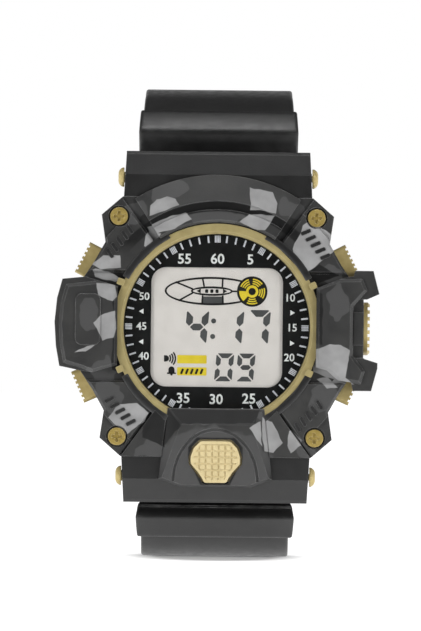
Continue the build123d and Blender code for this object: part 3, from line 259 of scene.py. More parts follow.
def facing(level):
    """Flat work drawn with X right and Y up, in mm, stood upright at a level in front of the dial."""
    return (
        Matrix.Translation((DIAL_X, level, DIAL_Z))
        @ Matrix.Rotation(math.pi / 2, 4, "X")
        @ Matrix.Diagonal((MM, MM, MM, 1.0))
    )


def at(x, y, turn=0.0):
    return Matrix.Translation((x, y, 0.0)) @ Matrix.Rotation(turn, 4, "Z")


def add_bar(bm, place, length, width, cut=0.0):
    """A flat bar along local X with its corners cut off."""
    made = bmesh.ops.create_grid(bm, x_segments=1, y_segments=1, size=0.5)["verts"]
    bmesh.ops.scale(bm, vec=(length, width, 1.0), verts=made)
    if cut:
        made = bmesh.ops.bevel(
            bm,
            geom=made,
            offset=cut,
            offset_type="OFFSET",
            segments=1,
            profile=0.5,
            affect="VERTICES",
            material=-1,
        )["verts"]
    bmesh.ops.transform(bm, matrix=place, verts=made)
    return made


def add_disc(bm, place, radius, sides=40):
    return bmesh.ops.create_circle(bm, cap_ends=True, segments=sides, radius=radius, matrix=place)["verts"]


def add_sector(bm, x, y, inner, outer, start, sweep, steps=12):
    """A piece of a flat ring, spun from one short edge. A whole turn is merged, and a ring without a hole too."""
    way = Vector((math.cos(start), math.sin(start), 0.0))
    middle_point = Vector((x, y, 0.0))
    ends = [bm.verts.new(middle_point + way * inner), bm.verts.new(middle_point + way * outer)]
    edge = bm.edges.new(ends)
    bmesh.ops.spin(
        bm,
        geom=ends + [edge],
        cent=middle_point,
        axis=(0, 0, 1),
        angle=sweep,
        steps=steps,
        use_merge=sweep >= 2 * math.pi,
    )
    if not inner:
        centre = [vert for vert in bm.verts if (vert.co - middle_point).length < DRAWN_WELD]
        bmesh.ops.remove_doubles(bm, verts=centre, dist=DRAWN_WELD)


def add_oval_line(bm, x, y, half_x, half_y, width, sides=72):
    """An oval outline of one width."""
    edges = []
    for inset in (0.0, width):
        place = at(x, y) @ Matrix.Diagonal((half_x - inset, half_y - inset, 1.0, 1.0))
        made = bmesh.ops.create_circle(bm, cap_ends=False, segments=sides, radius=1.0, matrix=place)["verts"]
        edges += list({edge for vert in made for edge in vert.link_edges})
    bmesh.ops.bridge_loops(bm, edges=edges)


def add_digit(bm, digit, x, y, size):
    """The lit bars of a seven-bar digit, mitred where they meet and leaning to the right."""
    width, height, thick = size
    side = (width - thick) / 2
    tall = (height - thick) / 2
    # Middle of each bar, whether it stands, and its mitres: a corner it meets there and the way cut off
    bars = {
        "a": (0.0, tall, False, [(-side, tall, -1, -1), (side, tall, 1, -1)]),
        "b": (side, tall / 2, True, [(side, tall, -1, 1), (side, 0.0, -1, -1), (side, 0.0, 1, -1)]),
        "c": (side, -tall / 2, True, [(side, -tall, -1, -1), (side, 0.0, -1, 1), (side, 0.0, 1, 1)]),
        "d": (0.0, -tall, False, [(-side, -tall, -1, 1), (side, -tall, 1, 1)]),
        "e": (-side, -tall / 2, True, [(-side, -tall, 1, -1), (-side, 0.0, -1, 1), (-side, 0.0, 1, 1)]),
        "f": (-side, tall / 2, True, [(-side, tall, 1, 1), (-side, 0.0, -1, -1), (-side, 0.0, 1, -1)]),
        "g": (0.0, 0.0, False, [(way * side, 0.0, way, up) for way in (-1, 1) for up in (1, -1)]),
    }
    lean = Matrix.Identity(4)
    lean[0][1] = SEGMENT_SLANT
    for name in LIT[digit]:
        bar_x, bar_y, stands, mitres = bars[name]
        part = bmesh.new()
        turn = math.pi / 2 if stands else 0.0
        add_bar(part, at(bar_x, bar_y, turn), (tall if stands else 2 * side) + thick, thick)
        cuts = [(cut, -SEGMENT_GAP / 2) for cut in mitres]
        cuts += [((sx * side, sy * tall, sx, sy), thick * CORNER_REACH) for sx in (-1, 1) for sy in (-1, 1)]
        for (corner_x, corner_y, way_x, way_y), reach in cuts:
            out = Vector((way_x, way_y, 0.0)).normalized()
            bmesh.ops.bisect_plane(
                part,
                geom=part.verts[:] + part.edges[:] + part.faces[:],
                plane_co=Vector((corner_x, corner_y, 0.0)) + out * reach,
                plane_no=out,
                clear_outer=True,
            )
        part.transform(Matrix.Translation((x, y, 0.0)) @ lean)
        mesh = bpy.data.meshes.new("bar")
        part.to_mesh(mesh)
        part.free()
        bm.from_mesh(mesh)
        bpy.data.meshes.remove(mesh)


def give_thickness(bm, thickness):
    """Raises flat faces towards the viewer and closes their sides."""
    bmesh.ops.recalc_face_normals(bm, faces=bm.faces[:])
    for face in bm.faces:
        if face.normal.z < 0:
            face.normal_flip()
    made = bmesh.ops.extrude_face_region(bm, geom=bm.faces[:], use_keep_orig=True)["geom"]
    raised = [item for item in made if isinstance(item, bmesh.types.BMVert)]
    bmesh.ops.translate(bm, vec=(0.0, 0.0, thickness), verts=raised)


def finish_print(name, bm, thickness, ink, level):
    """Raises flat printed work and sets it on its level."""
    give_thickness(bm, thickness)
    finish_piece(name, bm, "case", ink, facing(level))


def add_text(bm, text, x, y, size):
    """Plain numerals, made a mesh before they are placed."""
    curve = bpy.data.curves.new("numeral", "FONT")
    curve.body = text
    curve.size = size
    curve.align_x = "CENTER"
    curve.align_y = "CENTER"
    curve.offset = size * NUMERAL_WEIGHT
    curve.resolution_u = 3
    letter = bpy.data.objects.new("numeral", curve)
    bpy.context.scene.collection.objects.link(letter)
    mesh = bpy.data.meshes.new_from_object(letter.evaluated_get(bpy.context.evaluated_depsgraph_get()))
    mesh.transform(at(x, y))
    bm.from_mesh(mesh)
    bpy.data.objects.remove(letter)
    bpy.data.meshes.remove(mesh)


def sharp_edges(bm):
    return [
        edge
        for edge in bm.edges
        if len(edge.link_faces) == 2 and edge.calc_face_angle(0.0) > math.radians(SHARP_ANGLE)
    ]


def merged_copy(node):
    """A CAD node's mesh, in metres, with its doubled points merged."""
    bm = bmesh.new()
    bm.from_mesh(nodes[node].data)
    bmesh.ops.remove_doubles(bm, verts=bm.verts[:], dist=PACKED_WELD)
    return bm


def rounded_copy(node, name, body, material, radius):
    """A copy of a CAD node with its sharp edges rounded, which stands for it."""
    bm = merged_copy(node)
    bmesh.ops.dissolve_limit(
        bm,
        angle_limit=math.radians(FLAT_ANGLE),
        use_dissolve_boundaries=False,
        verts=bm.verts[:],
        edges=bm.edges[:],
    )
    bmesh.ops.bevel(
        bm,
        geom=sharp_edges(bm),
        offset=radius * MM,
        offset_type="OFFSET",
        segments=3,
        profile=0.5,
        affect="EDGES",
        material=-1,
        clamp_overlap=False,
    )
    piece = finish_piece(name, bm, body, material, smooth=SMOOTH_ANGLE)
    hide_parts(node)


# Materials

def linear(hex_colour):
    """An sRGB hex value as the linear colour that Blender's sockets take, by the sRGB standard's curve."""
    parts = [int(hex_colour[start:start + 2], 16) / 255 for start in (1, 3, 5)]
    levels = [part / 12.92 if part <= 0.04045 else ((part + 0.055) / 1.055) ** 2.4 for part in parts]
    return (*levels, 1.0)


def add(tree, kind, inputs, **settings):
    """Adds one node with its settings, its fixed values and its links."""
    made = tree.nodes.new(kind)
    for name, value in settings.items():
        setattr(made, name, value)
    for name, value in inputs.items():
        if isinstance(value, bpy.types.NodeSocket):
            tree.links.new(value, made.inputs[name])
        else:
            made.inputs[name].default_value = value
    return made


def start_material(name, **fixed):
    """A new material with its Principled shader, and the place on the piece in mm from the dial's middle."""
    material = bpy.data.materials.new(name)
    material.use_nodes = True
    tree = material.node_tree
    shader = tree.nodes["Principled BSDF"]
    for socket, value in fixed.items():
        shader.inputs[socket.replace("_", " ")].default_value = value
    where = add(tree, "ShaderNodeTexCoord", {})
    centre = Vector((DIAL_X, DIAL_FRONT, DIAL_Z))
    mm = add(
        tree,
        "ShaderNodeMapping",
        {"Vector": where.outputs["Object"], "Location": centre, "Scale": (MM, MM, MM)},
        vector_type="TEXTURE",
    )
    return material, tree, shader, mm.outputs["Vector"]


def blend_colours(tree, factor, first, second):
    """Between two colours; sockets 0, 6 and 7 are the factor and the two colours."""
    mixed = add(tree, "ShaderNodeMix", {0: factor, 6: first, 7: second}, data_type="RGBA")
    return mixed.outputs[2]


def grain(tree, mm, size, detail=2.0):
    """Cloudy noise from 0 to 1 whose cells are about size mm across."""
    noise = add(tree, "ShaderNodeTexNoise", {"Vector": mm, "Scale": 1.0 / size, "Detail": detail})
    return noise.outputs["Fac"]


def spread(tree, value, low, high, to_low, to_high):
    """Stretches part of a value's range to another range."""
    made = add(
        tree,
        "ShaderNodeMapRange",
        {"Value": value, "From Min": low, "From Max": high, "To Min": to_low, "To Max": to_high},
    )
    return made.outputs["Result"]


def mottle(tree, mm, size, detail, clouds, first, second):
    """A colour that drifts between two in clouds about size mm across."""
    share = spread(tree, grain(tree, mm, size, detail), *clouds, 0.0, 1.0)
    return blend_colours(tree, share, linear(first), linear(second))


def uneven_gloss(tree, shader, clouds, roughness, less, more):
    """Roughness that drifts a little, so that a highlight isn't even."""
    varied = spread(tree, clouds, *SOFT_CLOUDS, roughness - less, roughness + more)
    tree.links.new(varied, shader.inputs["Roughness"])


def edge_mask(tree, radius):
    """1 where the surface turns sharply, and the softened normal that goes with it."""
    soft = add(tree, "ShaderNodeBevel", {"Radius": radius * MM}, samples=4)
    shape = add(tree, "ShaderNodeNewGeometry", {})
    same = add(
        tree,
        "ShaderNodeVectorMath",
        {0: soft.outputs["Normal"], 1: shape.outputs["True Normal"]},
        operation="DOT_PRODUCT",
    )
    return spread(tree, same.outputs["Value"], 0.995, 0.85, 0.0, 1.0), soft.outputs["Normal"]


def bump(tree, shader, height, depth, normal=None):
    """Relief of depth mm from a height between 0 and 1."""
    inputs = {"Height": height, "Distance": depth * MM, "Strength": 1.0}
    if normal is not None:
        inputs["Normal"] = normal
    made = add(tree, "ShaderNodeBump", inputs)
    tree.links.new(made.outputs["Normal"], shader.inputs["Normal"])


# The camouflage print, a common pattern with its patches placed one by one, seen from the front in mm from the
# dial's middle. First its pale patches, as straight-sided outlines.
LIGHT_PATCHES = [
    [(-11.3, 18.1), (-11.1, 19.8), (-10.1, 20.9), (-8.5, 21.3), (-7.0, 20.9), (-6.4, 20.0), (-8.7, 19.0)],
    [(-11.5, 16.4), (-7.7, 18.1), (-5.3, 18.7), (-4.0, 17.2), (-7.0, 16.2), (-9.4, 15.0), (-10.8, 14.4)],
    [(-11.1, 15.8), (-9.2, 15.1), (-10.3, 13.8), (-11.4, 12.8), (-12.0, 13.0), (-11.7, 14.7)],
    [(5.1, 23.1), (8.9, 22.3), (9.7, 20.3), (9.5, 18.8), (5.4, 19.3)],
    [(5.2, 18.6), (9.4, 18.4), (7.7, 15.9), (6.6, 16.0), (3.4, 17.2)],
    [(12.3, 13.0), (13.9, 16.8), (15.4, 17.8), (18.5, 15.4), (19.2, 12.7), (16.0, 10.2), (14.6, 9.3), (13.4, 9.9)],
    [(-20.5, 10.2), (-18.7, 11.5), (-16.1, 11.5), (-15.9, 9.6), (-19.1, 9.3)],
    [(-20.6, 9.4), (-19.1, 9.9), (-17.0, 8.6), (-15.1, 8.0), (-16.7, 7.3), (-19.9, 8.1)],
    [(-19.9, 7.0), (-16.7, 6.8), (-16.4, 4.8), (-17.0, 4.0), (-18.0, 4.2), (-19.4, 5.1)],
    [(-20.5, 1.1), (-19.1, 1.7), (-17.0, 3.9), (-16.4, -0.4), (-17.0, -1.9), (-18.7, -2.4)],
    [(-23.2, -4.3), (-21.2, -3.2), (-19.9, -3.0), (-21.5, -4.2)],
    [(15.9, -3.6), (18.5, -2.6), (20.4, -2.7), (21.9, -3.5), (21.0, -8.7), (17.9, -8.0), (15.8, -7.2)],
    [(16.6, -8.3), (18.2, -8.0), (19.9, -9.6), (18.2, -9.8)],
    [(20.3, -7.4), (22.7, -9.1), (18.9, -8.9)],
    [
        (-17.5, -15.0),
        (-16.0, -12.7),
        (-12.9, -12.5),
        (-11.0, -14.3),
        (-11.7, -15.6),
        (-14.6, -17.7),
        (-15.6, -16.9),
    ],
    [(7.5, -14.6), (9.2, -15.3), (11.0, -18.8), (9.4, -20.5), (8.2, -20.1), (7.7, -17.7)],
    [(5.6, -16.5), (7.3, -15.3), (7.7, -19.3), (6.8, -18.4)],
    [(11.1, -17.0), (12.3, -16.7), (14.2, -18.4), (14.0, -19.3), (11.7, -21.0), (11.8, -19.1)],
]
# Its middle greys, as ovals whose rims wander: x, z, half length, half width and turn in degrees. The fourth is
# painted light, not print: it lightens the lower shield's face, which faces down.
MID_AND_LIT_PATCHES = [
    (-14.0, 18.5, 3.0, 1.6, 40.0),
    (-8.2, 22.2, 3.0, 1.6, 28.0),
    (-1.6, 18.1, 7.0, 1.1, 0.0),
    # painted light: the lower shield's face made lighter
    (0.0, -22.6, 9.4, 6.2, 0.0),
    (12.0, 19.6, 2.2, 1.6, -40.0),
    (-21.0, 2.0, 1.6, 3.0, 0.0),
    (-18.5, -7.0, 2.6, 1.6, 10.0),
    (-17.5, -11.5, 2.0, 2.6, 30.0),
    (-10.4, -20.0, 2.6, 1.6, 20.0),
    (-2.8, -14.6, 2.1, 1.5, 0.0),
    (5.2, -14.4, 2.0, 1.1, 0.0),
    (17.6, -11.6, 2.2, 2.6, -30.0),
    (19.8, 4.4, 1.8, 2.6, 0.0),
    (14.4, -20.0, 1.8, 1.2, -30.0),
    (18.8, 9.0, 1.6, 1.8, 0.0),
]
# Its darkest tone and painted shade, as straight-sided outlines: the first two are painted shade on the guards'
# inner walls beside the ring, the next three are painted shade on the lower shield's upward-facing top and its
# left end, and the last two darken the corners above the guards.
DARK_AND_SHADE_PATCHES = [
    [(-17.1, 5.6), (-16.0, 6.6), (-16.0, -7.4), (-17.1, -7.0)],
    [(16.0, 6.4), (17.3, 5.6), (17.3, -2.6), (16.0, -2.6)],
    [(-11.2, -13.0), (-7.9, -12.8), (-8.3, -19.8), (-12.1, -18.2)],
    [(-8.1, -12.6), (7.3, -12.6), (6.5, -15.7), (-5.6, -15.9)],
    [(-8.1, -13.0), (-5.6, -15.9), (-8.4, -19.6)],
    [(-16.6, 10.0), (-14.4, 7.4), (-16.0, 6.9), (-17.2, 8.4)],
    [(14.0, 9.4), (16.8, 10.6), (20.0, 8.6), (16.4, 7.2)],
]
# Painted shade over the gap round the front button
BUTTON_GAP_SHADE = [
    [
        (-3.1, -18.1),
        (3.2, -18.1),
        (4.45, -19.7),
        (4.5, -21.5),
        (2.4, -25.9),
        (-2.4, -25.9),
        (-4.5, -21.5),
        (-4.45, -19.7),
    ]
]
# Painted shade along the groove under the hood's lip: its radii, the height where it starts to show, and how soft
# it is
HOOD_GROOVE = (19.0, 20.6)
HOOD_GROOVE_LOW = 12.0
HOOD_GROOVE_FADE = 2.0
HOOD_GROOVE_SOFT = 0.1
# The print's edges wander by about this much over this distance; the middle greys' rims wander more
PRINT_WOBBLE = 0.7
PRINT_WOBBLE_SIZE = 2.2
LOOSE_WOBBLE = 4 * PRINT_WOBBLE
OUTLINE_SOFT = 0.04
OVAL_SOFT = 0.03
OVAL_DEEP = 1000.0

# Skins: radius of the rounding that light sees on edges, and depth of the relief
EDGE_RADIUS = 0.18
METAL_EDGE_RADIUS = 0.15
RESIN_PIT_DEPTH = 0.012
SCRATCH_DEPTH = 0.006
SOLDER_DEPTH = 0.02
# The part of cloudy noise that is stretched to the whole range, where it varies softly and firmly
SOFT_CLOUDS = (0.3, 0.7)
FIRM_CLOUDS = (0.35, 0.65)


def inside_outlines(tree, point, outlines):
    """1 inside any of the outlines: a point is inside when it is behind every one of its sides."""
    nearest = None
    for corners in outlines:
        middle_x = sum(x for x, z in corners) / len(corners)
        middle_z = sum(z for x, z in corners) / len(corners)
        furthest = None
        for (x0, z0), (x1, z1) in zip(corners, corners[1:] + corners[:1]):
            out = Vector((z1 - z0, 0.0, x0 - x1)).normalized()
            if out.x * (middle_x - x0) + out.z * (middle_z - z0) > 0:
                out = -out
            reach = add(tree, "ShaderNodeVectorMath", {0: point, 1: out}, operation="DOT_PRODUCT")
            side = {0: reach.outputs["Value"], 1: out.x * x0 + out.z * z0}
            beyond = add(tree, "ShaderNodeMath", side, operation="SUBTRACT").outputs[0]
            if furthest is None:
                furthest = beyond
            else:
                furthest = add(tree, "ShaderNodeMath", {0: furthest, 1: beyond}, operation="MAXIMUM").outputs[0]
        if nearest is None:
            nearest = furthest
        else:
            nearest = add(tree, "ShaderNodeMath", {0: nearest, 1: furthest}, operation="MINIMUM").outputs[0]
    return spread(tree, nearest, OUTLINE_SOFT, -OUTLINE_SOFT, 0.0, 1.0)


def inside_ovals(tree, point, ovals):
    """1 inside any of the ovals."""
    nearest = None
    for x, z, half_x, half_z, turn in ovals:
        local = add(
            tree,
            "ShaderNodeMapping",
            {
                "Vector": point,
                "Location": (x, 0.0, z),
                "Rotation": (0.0, -math.radians(turn), 0.0),
                "Scale": (half_x, OVAL_DEEP, half_z),
            },
            vector_type="TEXTURE",
        )
        far = add(tree, "ShaderNodeVectorMath", {0: local.outputs["Vector"]}, operation="LENGTH")
        far = far.outputs["Value"]
        if nearest is None:
            nearest = far
        else:
            nearest = add(tree, "ShaderNodeMath", {0: nearest, 1: far}, operation="MINIMUM").outputs[0]
    return spread(tree, nearest, 1.0 + OVAL_SOFT, 1.0 - OVAL_SOFT, 0.0, 1.0)


def hood_groove_shade(tree, mm):
    """1 along the groove under the hood's lip, where shade is painted."""
    flat = add(tree, "ShaderNodeVectorMath", {0: mm, 1: (1.0, 0.0, 1.0)}, operation="MULTIPLY")
    radius = add(tree, "ShaderNodeVectorMath", {0: flat.outputs["Vector"]}, operation="LENGTH")
    radius = radius.outputs["Value"]
    height = add(tree, "ShaderNodeSeparateXYZ", {"Vector": mm}).outputs["Z"]
    inner, outer = HOOD_GROOVE
    masks = [
        spread(tree, radius, inner - HOOD_GROOVE_SOFT, inner + HOOD_GROOVE_SOFT, 0.0, 1.0),
        spread(tree, radius, outer + HOOD_GROOVE_SOFT, outer - HOOD_GROOVE_SOFT, 0.0, 1.0),
        spread(tree, height, HOOD_GROOVE_LOW, HOOD_GROOVE_LOW + HOOD_GROOVE_FADE, 0.0, 1.0),
    ]
    both = add(tree, "ShaderNodeMath", {0: masks[0], 1: masks[1]}, operation="MULTIPLY").outputs[0]
    return add(tree, "ShaderNodeMath", {0: both, 1: masks[2]}, operation="MULTIPLY").outputs[0]


def moulded_resin(name, base, worn, roughness, grain_size, sheen, printed=False, soft=EDGE_RADIUS):
    """Injection-moulded polyurethane resin: dull, finely pitted, with a soft sheen and paler edges, which are
    partly wear and partly a painted highlight.
    """
    material, tree, shader, mm = start_material(name, Roughness=roughness, IOR=1.5)
    shader.inputs["Specular IOR Level"].default_value = sheen
    colour = mottle(tree, mm, 5.0, 4.0, FIRM_CLOUDS, base, worn)
    if printed:
        wobble = add(tree, "ShaderNodeTexNoise", {"Vector": mm, "Scale": 1.0 / PRINT_WOBBLE_SIZE, "Detail": 1.0})
        about_zero = {0: wobble.outputs["Color"], 1: (0.5, 0.5, 0.5)}
        shift = add(tree, "ShaderNodeVectorMath", about_zero, operation="SUBTRACT").outputs["Vector"]
        crisp, loose = [
            add(
                tree,
                "ShaderNodeVectorMath",
                {0: shift, 1: (reach, reach, reach), 2: mm},
                operation="MULTIPLY_ADD",
            ).outputs["Vector"]
            for reach in (PRINT_WOBBLE, LOOSE_WOBBLE)
        ]
        # Middle greys of the print, and painted light on the lower shield's face
        colour = blend_colours(tree, inside_ovals(tree, loose, MID_AND_LIT_PATCHES), colour, linear("#444444"))
        # The print's darkest tone, with painted shade on the guards' inner walls, on the lower shield's top, round
        # the front button and under the hood's lip
        black_and_shade = inside_outlines(tree, crisp, DARK_AND_SHADE_PATCHES)
        for more in (hood_groove_shade(tree, mm), inside_outlines(tree, mm, BUTTON_GAP_SHADE)):
            black_and_shade = add(tree, "ShaderNodeMath", {0: black_and_shade, 1: more}, operation="MAXIMUM").outputs[0]
        colour = blend_colours(tree, black_and_shade, colour, linear("#111111"))
        pale = mottle(tree, mm, 3.0, 2.0, SOFT_CLOUDS, "#828282", "#989898")
        colour = blend_colours(tree, inside_outlines(tree, crisp, LIGHT_PATCHES), colour, pale)
    edge, soft_normal = edge_mask(tree, EDGE_RADIUS)
    if soft > EDGE_RADIUS:
        soft_normal = add(tree, "ShaderNodeBevel", {"Radius": soft * MM}, samples=8).outputs["Normal"]
    # Paler edges, patchy: partly wear, partly a painted highlight where edges would catch the light
    wear = spread(tree, grain(tree, mm, 1.6), *FIRM_CLOUDS, 0.2, 0.7)
    worn_and_highlit = add(tree, "ShaderNodeMath", {0: edge, 1: wear}, operation="MULTIPLY")
    colour = blend_colours(tree, worn_and_highlit.outputs[0], colour, linear("#8a8a8a"))
    tree.links.new(colour, shader.inputs["Base Color"])
    uneven_gloss(tree, shader, grain(tree, mm, 1.2), roughness, 0.06, 0.06)
    bump(tree, shader, grain(tree, mm, grain_size), RESIN_PIT_DEPTH, soft_normal)
    return material


def gold_finish(name, base, deep, roughness, metallic, grain_size, relief):
    """Gold over metal or plastic: warm, a little uneven, and brighter at its edges, partly from wear and partly as
    a painted highlight.
    """
    material, tree, shader, mm = start_material(name, Roughness=roughness, Metallic=metallic)
    colour = mottle(tree, mm, 1.8, 3.0, SOFT_CLOUDS, deep, base)
    edge, soft_normal = edge_mask(tree, METAL_EDGE_RADIUS)
    # Edges lighter: partly wear, partly a painted highlight
    colour = blend_colours(tree, spread(tree, edge, 0.0, 1.0, 0.0, 0.45), colour, linear("#e2d6ac"))
    tree.links.new(colour, shader.inputs["Base Color"])
    uneven_gloss(tree, shader, grain(tree, mm, 0.5), roughness, 0.05, 0.07)
    bump(tree, shader, grain(tree, mm, grain_size), relief, soft_normal)
    return material


def brushed_metal(name, base, roughness, along):
    """Steel or aluminium with a brushed or rolled grain: fine lines that stretch the highlight."""
    material, tree, shader, mm = start_material(name, Metallic=1.0, Roughness=roughness)
    lines = add(tree, "ShaderNodeMapping", {"Vector": mm, "Scale": along})
    scratch = add(tree, "ShaderNodeTexNoise", {"Vector": lines.outputs["Vector"], "Scale": 1.0, "Detail": 3.0})
    colour = blend_colours(tree, scratch.outputs["Fac"], linear(base), linear("#d9d8d4"))
    tree.links.new(colour, shader.inputs["Base Color"])
    uneven_gloss(tree, shader, scratch.outputs["Fac"], roughness, 0.08, 0.1)
    bump(tree, shader, scratch.outputs["Fac"], SCRATCH_DEPTH, edge_mask(tree, METAL_EDGE_RADIUS)[1])
    return material


def plain_polymer(name, base, second, roughness, grain_size, relief, specular=0.5):
    """Moulded or printed polymer: slight mottling, fine relief."""
    material, tree, shader, mm = start_material(name, Roughness=roughness)
    shader.inputs["Specular IOR Level"].default_value = specular
    colour = mottle(tree, mm, 2.5, 3.0, FIRM_CLOUDS, base, second)
    tree.links.new(colour, shader.inputs["Base Color"])
    uneven_gloss(tree, shader, grain(tree, mm, 0.8), roughness, 0.05, 0.05)
    bump(tree, shader, grain(tree, mm, grain_size), relief)
    return material


def crystal_glass():
    """Mineral glass, pressed and polished: clear, with a weak reflection; lamps shine through to the dial."""
    material, tree, shader, mm = start_material("mineral_glass_polished", Roughness=0.04)
    clear = add(tree, "ShaderNodeBsdfTransparent", {"Color": (0.97, 0.98, 0.98, 1.0)})
    gloss = add(tree, "ShaderNodeBsdfGlossy", {"Roughness": 0.05, "Color": (1.0, 1.0, 1.0, 1.0)})
    turned = add(tree, "ShaderNodeLayerWeight", {"Blend": 0.5}).outputs["Facing"]
    rim = add(tree, "ShaderNodeMath", {0: turned, 1: 5.0}, operation="POWER").outputs[0]
    smear = spread(tree, grain(tree, mm, 6.0), *SOFT_CLOUDS, 0.75, 1.0)
    shine = spread(tree, rim, 0.0, 1.0, 0.01, 0.8)
    share = add(tree, "ShaderNodeMath", {0: shine, 1: smear}, operation="MULTIPLY")
    mixed = add(
        tree,
        "ShaderNodeMixShader",
        {0: share.outputs[0], 1: clear.outputs["BSDF"], 2: gloss.outputs["BSDF"]},
    )
    tree.nodes.remove(shader)
    tree.links.new(mixed.outputs["Shader"], tree.nodes["Material Output"].inputs["Surface"])
    return material


def solder_mask():
    """Fibreglass laminate under green solder mask: copper runs show as paler lines."""
    material, tree, shader, mm = start_material("fr4_laminate_solder_mask", Roughness=0.35)
    runs = add(
        tree,
        "ShaderNodeTexBrick",
        {
            "Vector": mm,
            "Scale": 0.8,
            "Mortar Size": 0.08,
            "Color1": linear("#0f4a2a"),
            "Color2": linear("#12532f"),
            "Mortar": linear("#2f7a48"),
        },
    )
    tree.links.new(runs.outputs["Color"], shader.inputs["Base Color"])
    bump(tree, shader, runs.outputs["Fac"], SOLDER_DEPTH)
    return material


# The camouflage print, which also carries painted shade and painted light
print_and_shade_resin = moulded_resin(
    "polyurethane_resin_moulded_camouflage_print_painted_shade", "#2a2a2a", "#333332", 0.42, 0.22, 0.6, printed=True
)
case_resin = moulded_resin("polyurethane_resin_moulded_fine_grain", "#191919", "#1f1f1f", 0.4, 0.22, 0.65)
strap_resin = moulded_resin("soft_polyurethane_resin_moulded", "#131313", "#181818", 0.38, 0.3, 0.75, soft=1.0)
ring_lacquer = gold_finish("abs_gold_lacquered_satin", "#a89a6a", "#978a5d", 0.45, 0.2, 0.12, 0.004)
button_lacquer = gold_finish("abs_gold_lacquered_bright", "#dccb9c", "#cfbd8d", 0.45, 0.15, 0.12, 0.004)
gold_plate = gold_finish("brass_gold_plated_matte", "#d6c387", "#c2ad70", 0.42, 0.25, 0.2, 0.006)
screw_plate = gold_finish("steel_gold_plated", "#c6ae66", "#a9924c", 0.36, 0.55, 0.2, 0.006)
steel = brushed_metal("stainless_steel_brushed", "#b4b3af", 0.32, (0.25, 9.0, 9.0))
can_metal = brushed_metal("nickel_plated_can_pressed", "#c0bfba", 0.25, (3.0, 3.0, 3.0))
buzzer_metal = gold_finish("brass_rolled_sheet", "#c9a95a", "#b8964a", 0.35, 1.0, 0.3, 0.004)
seal_rubber = plain_polymer("nitrile_rubber_moulded", "#191919", "#222222", 0.6, 0.2, 0.01, 0.3)
module_plastic = plain_polymer("acetal_natural_moulded", "#c9c7c0", "#d6d4cd", 0.45, 0.3, 0.01)
chip_resin = plain_polymer("epoxy_black_moulded", "#141414", "#1d1d1d", 0.5, 0.1, 0.01, 0.3)
film = plain_polymer("light_film_cast", "#8fc7bd", "#a5d6cc", 0.3, 0.4, 0.004)
dial_black = plain_polymer("dial_foil_printed_matte_black", "#101010", "#161616", 0.6, 0.12, 0.006, 0.2)
display = plain_polymer("display_glass_reflective_cell", "#cbc4bf", "#d2cbc6", 0.35, 0.1, 0.002, 0.3)
mark_ink = plain_polymer("screen_printed_grey_ink", "#e4e4e8", "#d2d2d8", 0.5, 0.15, 0.006, 0.3)
numeral_ink = plain_polymer("screen_printed_white_ink", "#e8e8e6", "#dcdcda", 0.5, 0.15, 0.006, 0.3)
segment_ink = plain_polymer("liquid_crystal_segment", "#434343", "#4c4c4c", 0.4, 0.2, 0.002, 0.3)
black_ink = plain_polymer("screen_printed_black_ink", "#141414", "#1e1e1e", 0.45, 0.2, 0.004, 0.3)
yellow_ink = plain_polymer("screen_printed_yellow_ink", "#d9c235", "#cdb52c", 0.45, 0.2, 0.004, 0.3)
lens_glass = crystal_glass()
board_green = solder_mask()

finishes = {
    "resin_case": case_resin,
    "gold_metal": gold_plate,
    "gold_plastic": ring_lacquer,
    "strap_resin": strap_resin,
    "steel": steel,
    "cell_can": can_metal,
    "lens_clear": lens_glass,
    "dial_black": dial_black,
    "display_glass": display,
    "seal_rubber": seal_rubber,
    "module_plastic": module_plastic,
    "board_laminate": board_green,
    "chip_black": chip_resin,
    "buzzer_brass": buzzer_metal,
    "light_film": film,
}
slot_of = {part["node"]: part["material_slot"] for part in frame["record"]["subparts"]}
for node_name, node in nodes.items():
    node.data.materials.clear()
    node.data.materials.append(finishes[slot_of[node_name]])
for node_name in ("bezel", "upper_shield", "left_guard", "right_guard", "lower_shield"):
    nodes[node_name].data.materials[0] = print_and_shade_resin
nodes["front_button"].data.materials[0] = button_lacquer
for node_name in ("bezel_screws", "back_screws"):
    nodes[node_name].data.materials[0] = screw_plate

# Dial

ticks = bmesh.new()
blocks = bmesh.new()
for count in range(TICK_COUNT):
    angle = math.pi / 2 - 2 * math.pi * count / TICK_COUNT
    place = Matrix.Rotation(angle, 4, "Z") @ Matrix.Translation((TICK_OUTER - TICK_LENGTH / 2, 0.0, 0.0))
    if count % TICKS_PER_BLOCK:
        add_bar(ticks, place, TICK_LENGTH, TICK_WIDTH, TICK_CORNER)
    else:
        bar_width = (BLOCK_WIDTH - (BLOCK_BARS - 1) * BLOCK_BAR_GAP) / BLOCK_BARS
        for bar in range(BLOCK_BARS):
            side = (bar - (BLOCK_BARS - 1) / 2) * (bar_width + BLOCK_BAR_GAP)
            add_bar(blocks, place @ Matrix.Translation((0.0, side, 0.0)), TICK_LENGTH, bar_width)
finish_print("dial_minute_ticks", ticks, PRINT_HEIGHT, mark_ink, DIAL_FRONT)
finish_print("dial_five_minute_blocks", blocks, PRINT_HEIGHT, mark_ink, DIAL_FRONT)

numerals = bmesh.new()
for text, x, y, size in NUMERALS:
    add_text(numerals, text, x, y, size)
finish_print("dial_numerals", numerals, PRINT_HEIGHT, numeral_ink, DIAL_FRONT)

arrows = bmesh.new()
for x, y, turn in ARROWS:
    add_disc(arrows, at(x, y, turn - math.pi / 2), ARROW_RADIUS, 3)
finish_print("dial_arrows", arrows, PRINT_HEIGHT, numeral_ink, DIAL_FRONT)

# Display

digits = bmesh.new()
for digit, x, y in HOUR_DIGITS:
    add_digit(digits, digit, x, y, HOUR_DIGIT_SIZE)
for digit, x, y in SECOND_DIGITS:
    add_digit(digits, digit, x, y, SECOND_DIGIT_SIZE)
for x, y in COLON_DOTS:
    add_disc(digits, at(x, y), COLON_RADIUS, 20)
finish_print("display_digits", digits, SEGMENT_HEIGHT, segment_ink, DISPLAY_FRONT)

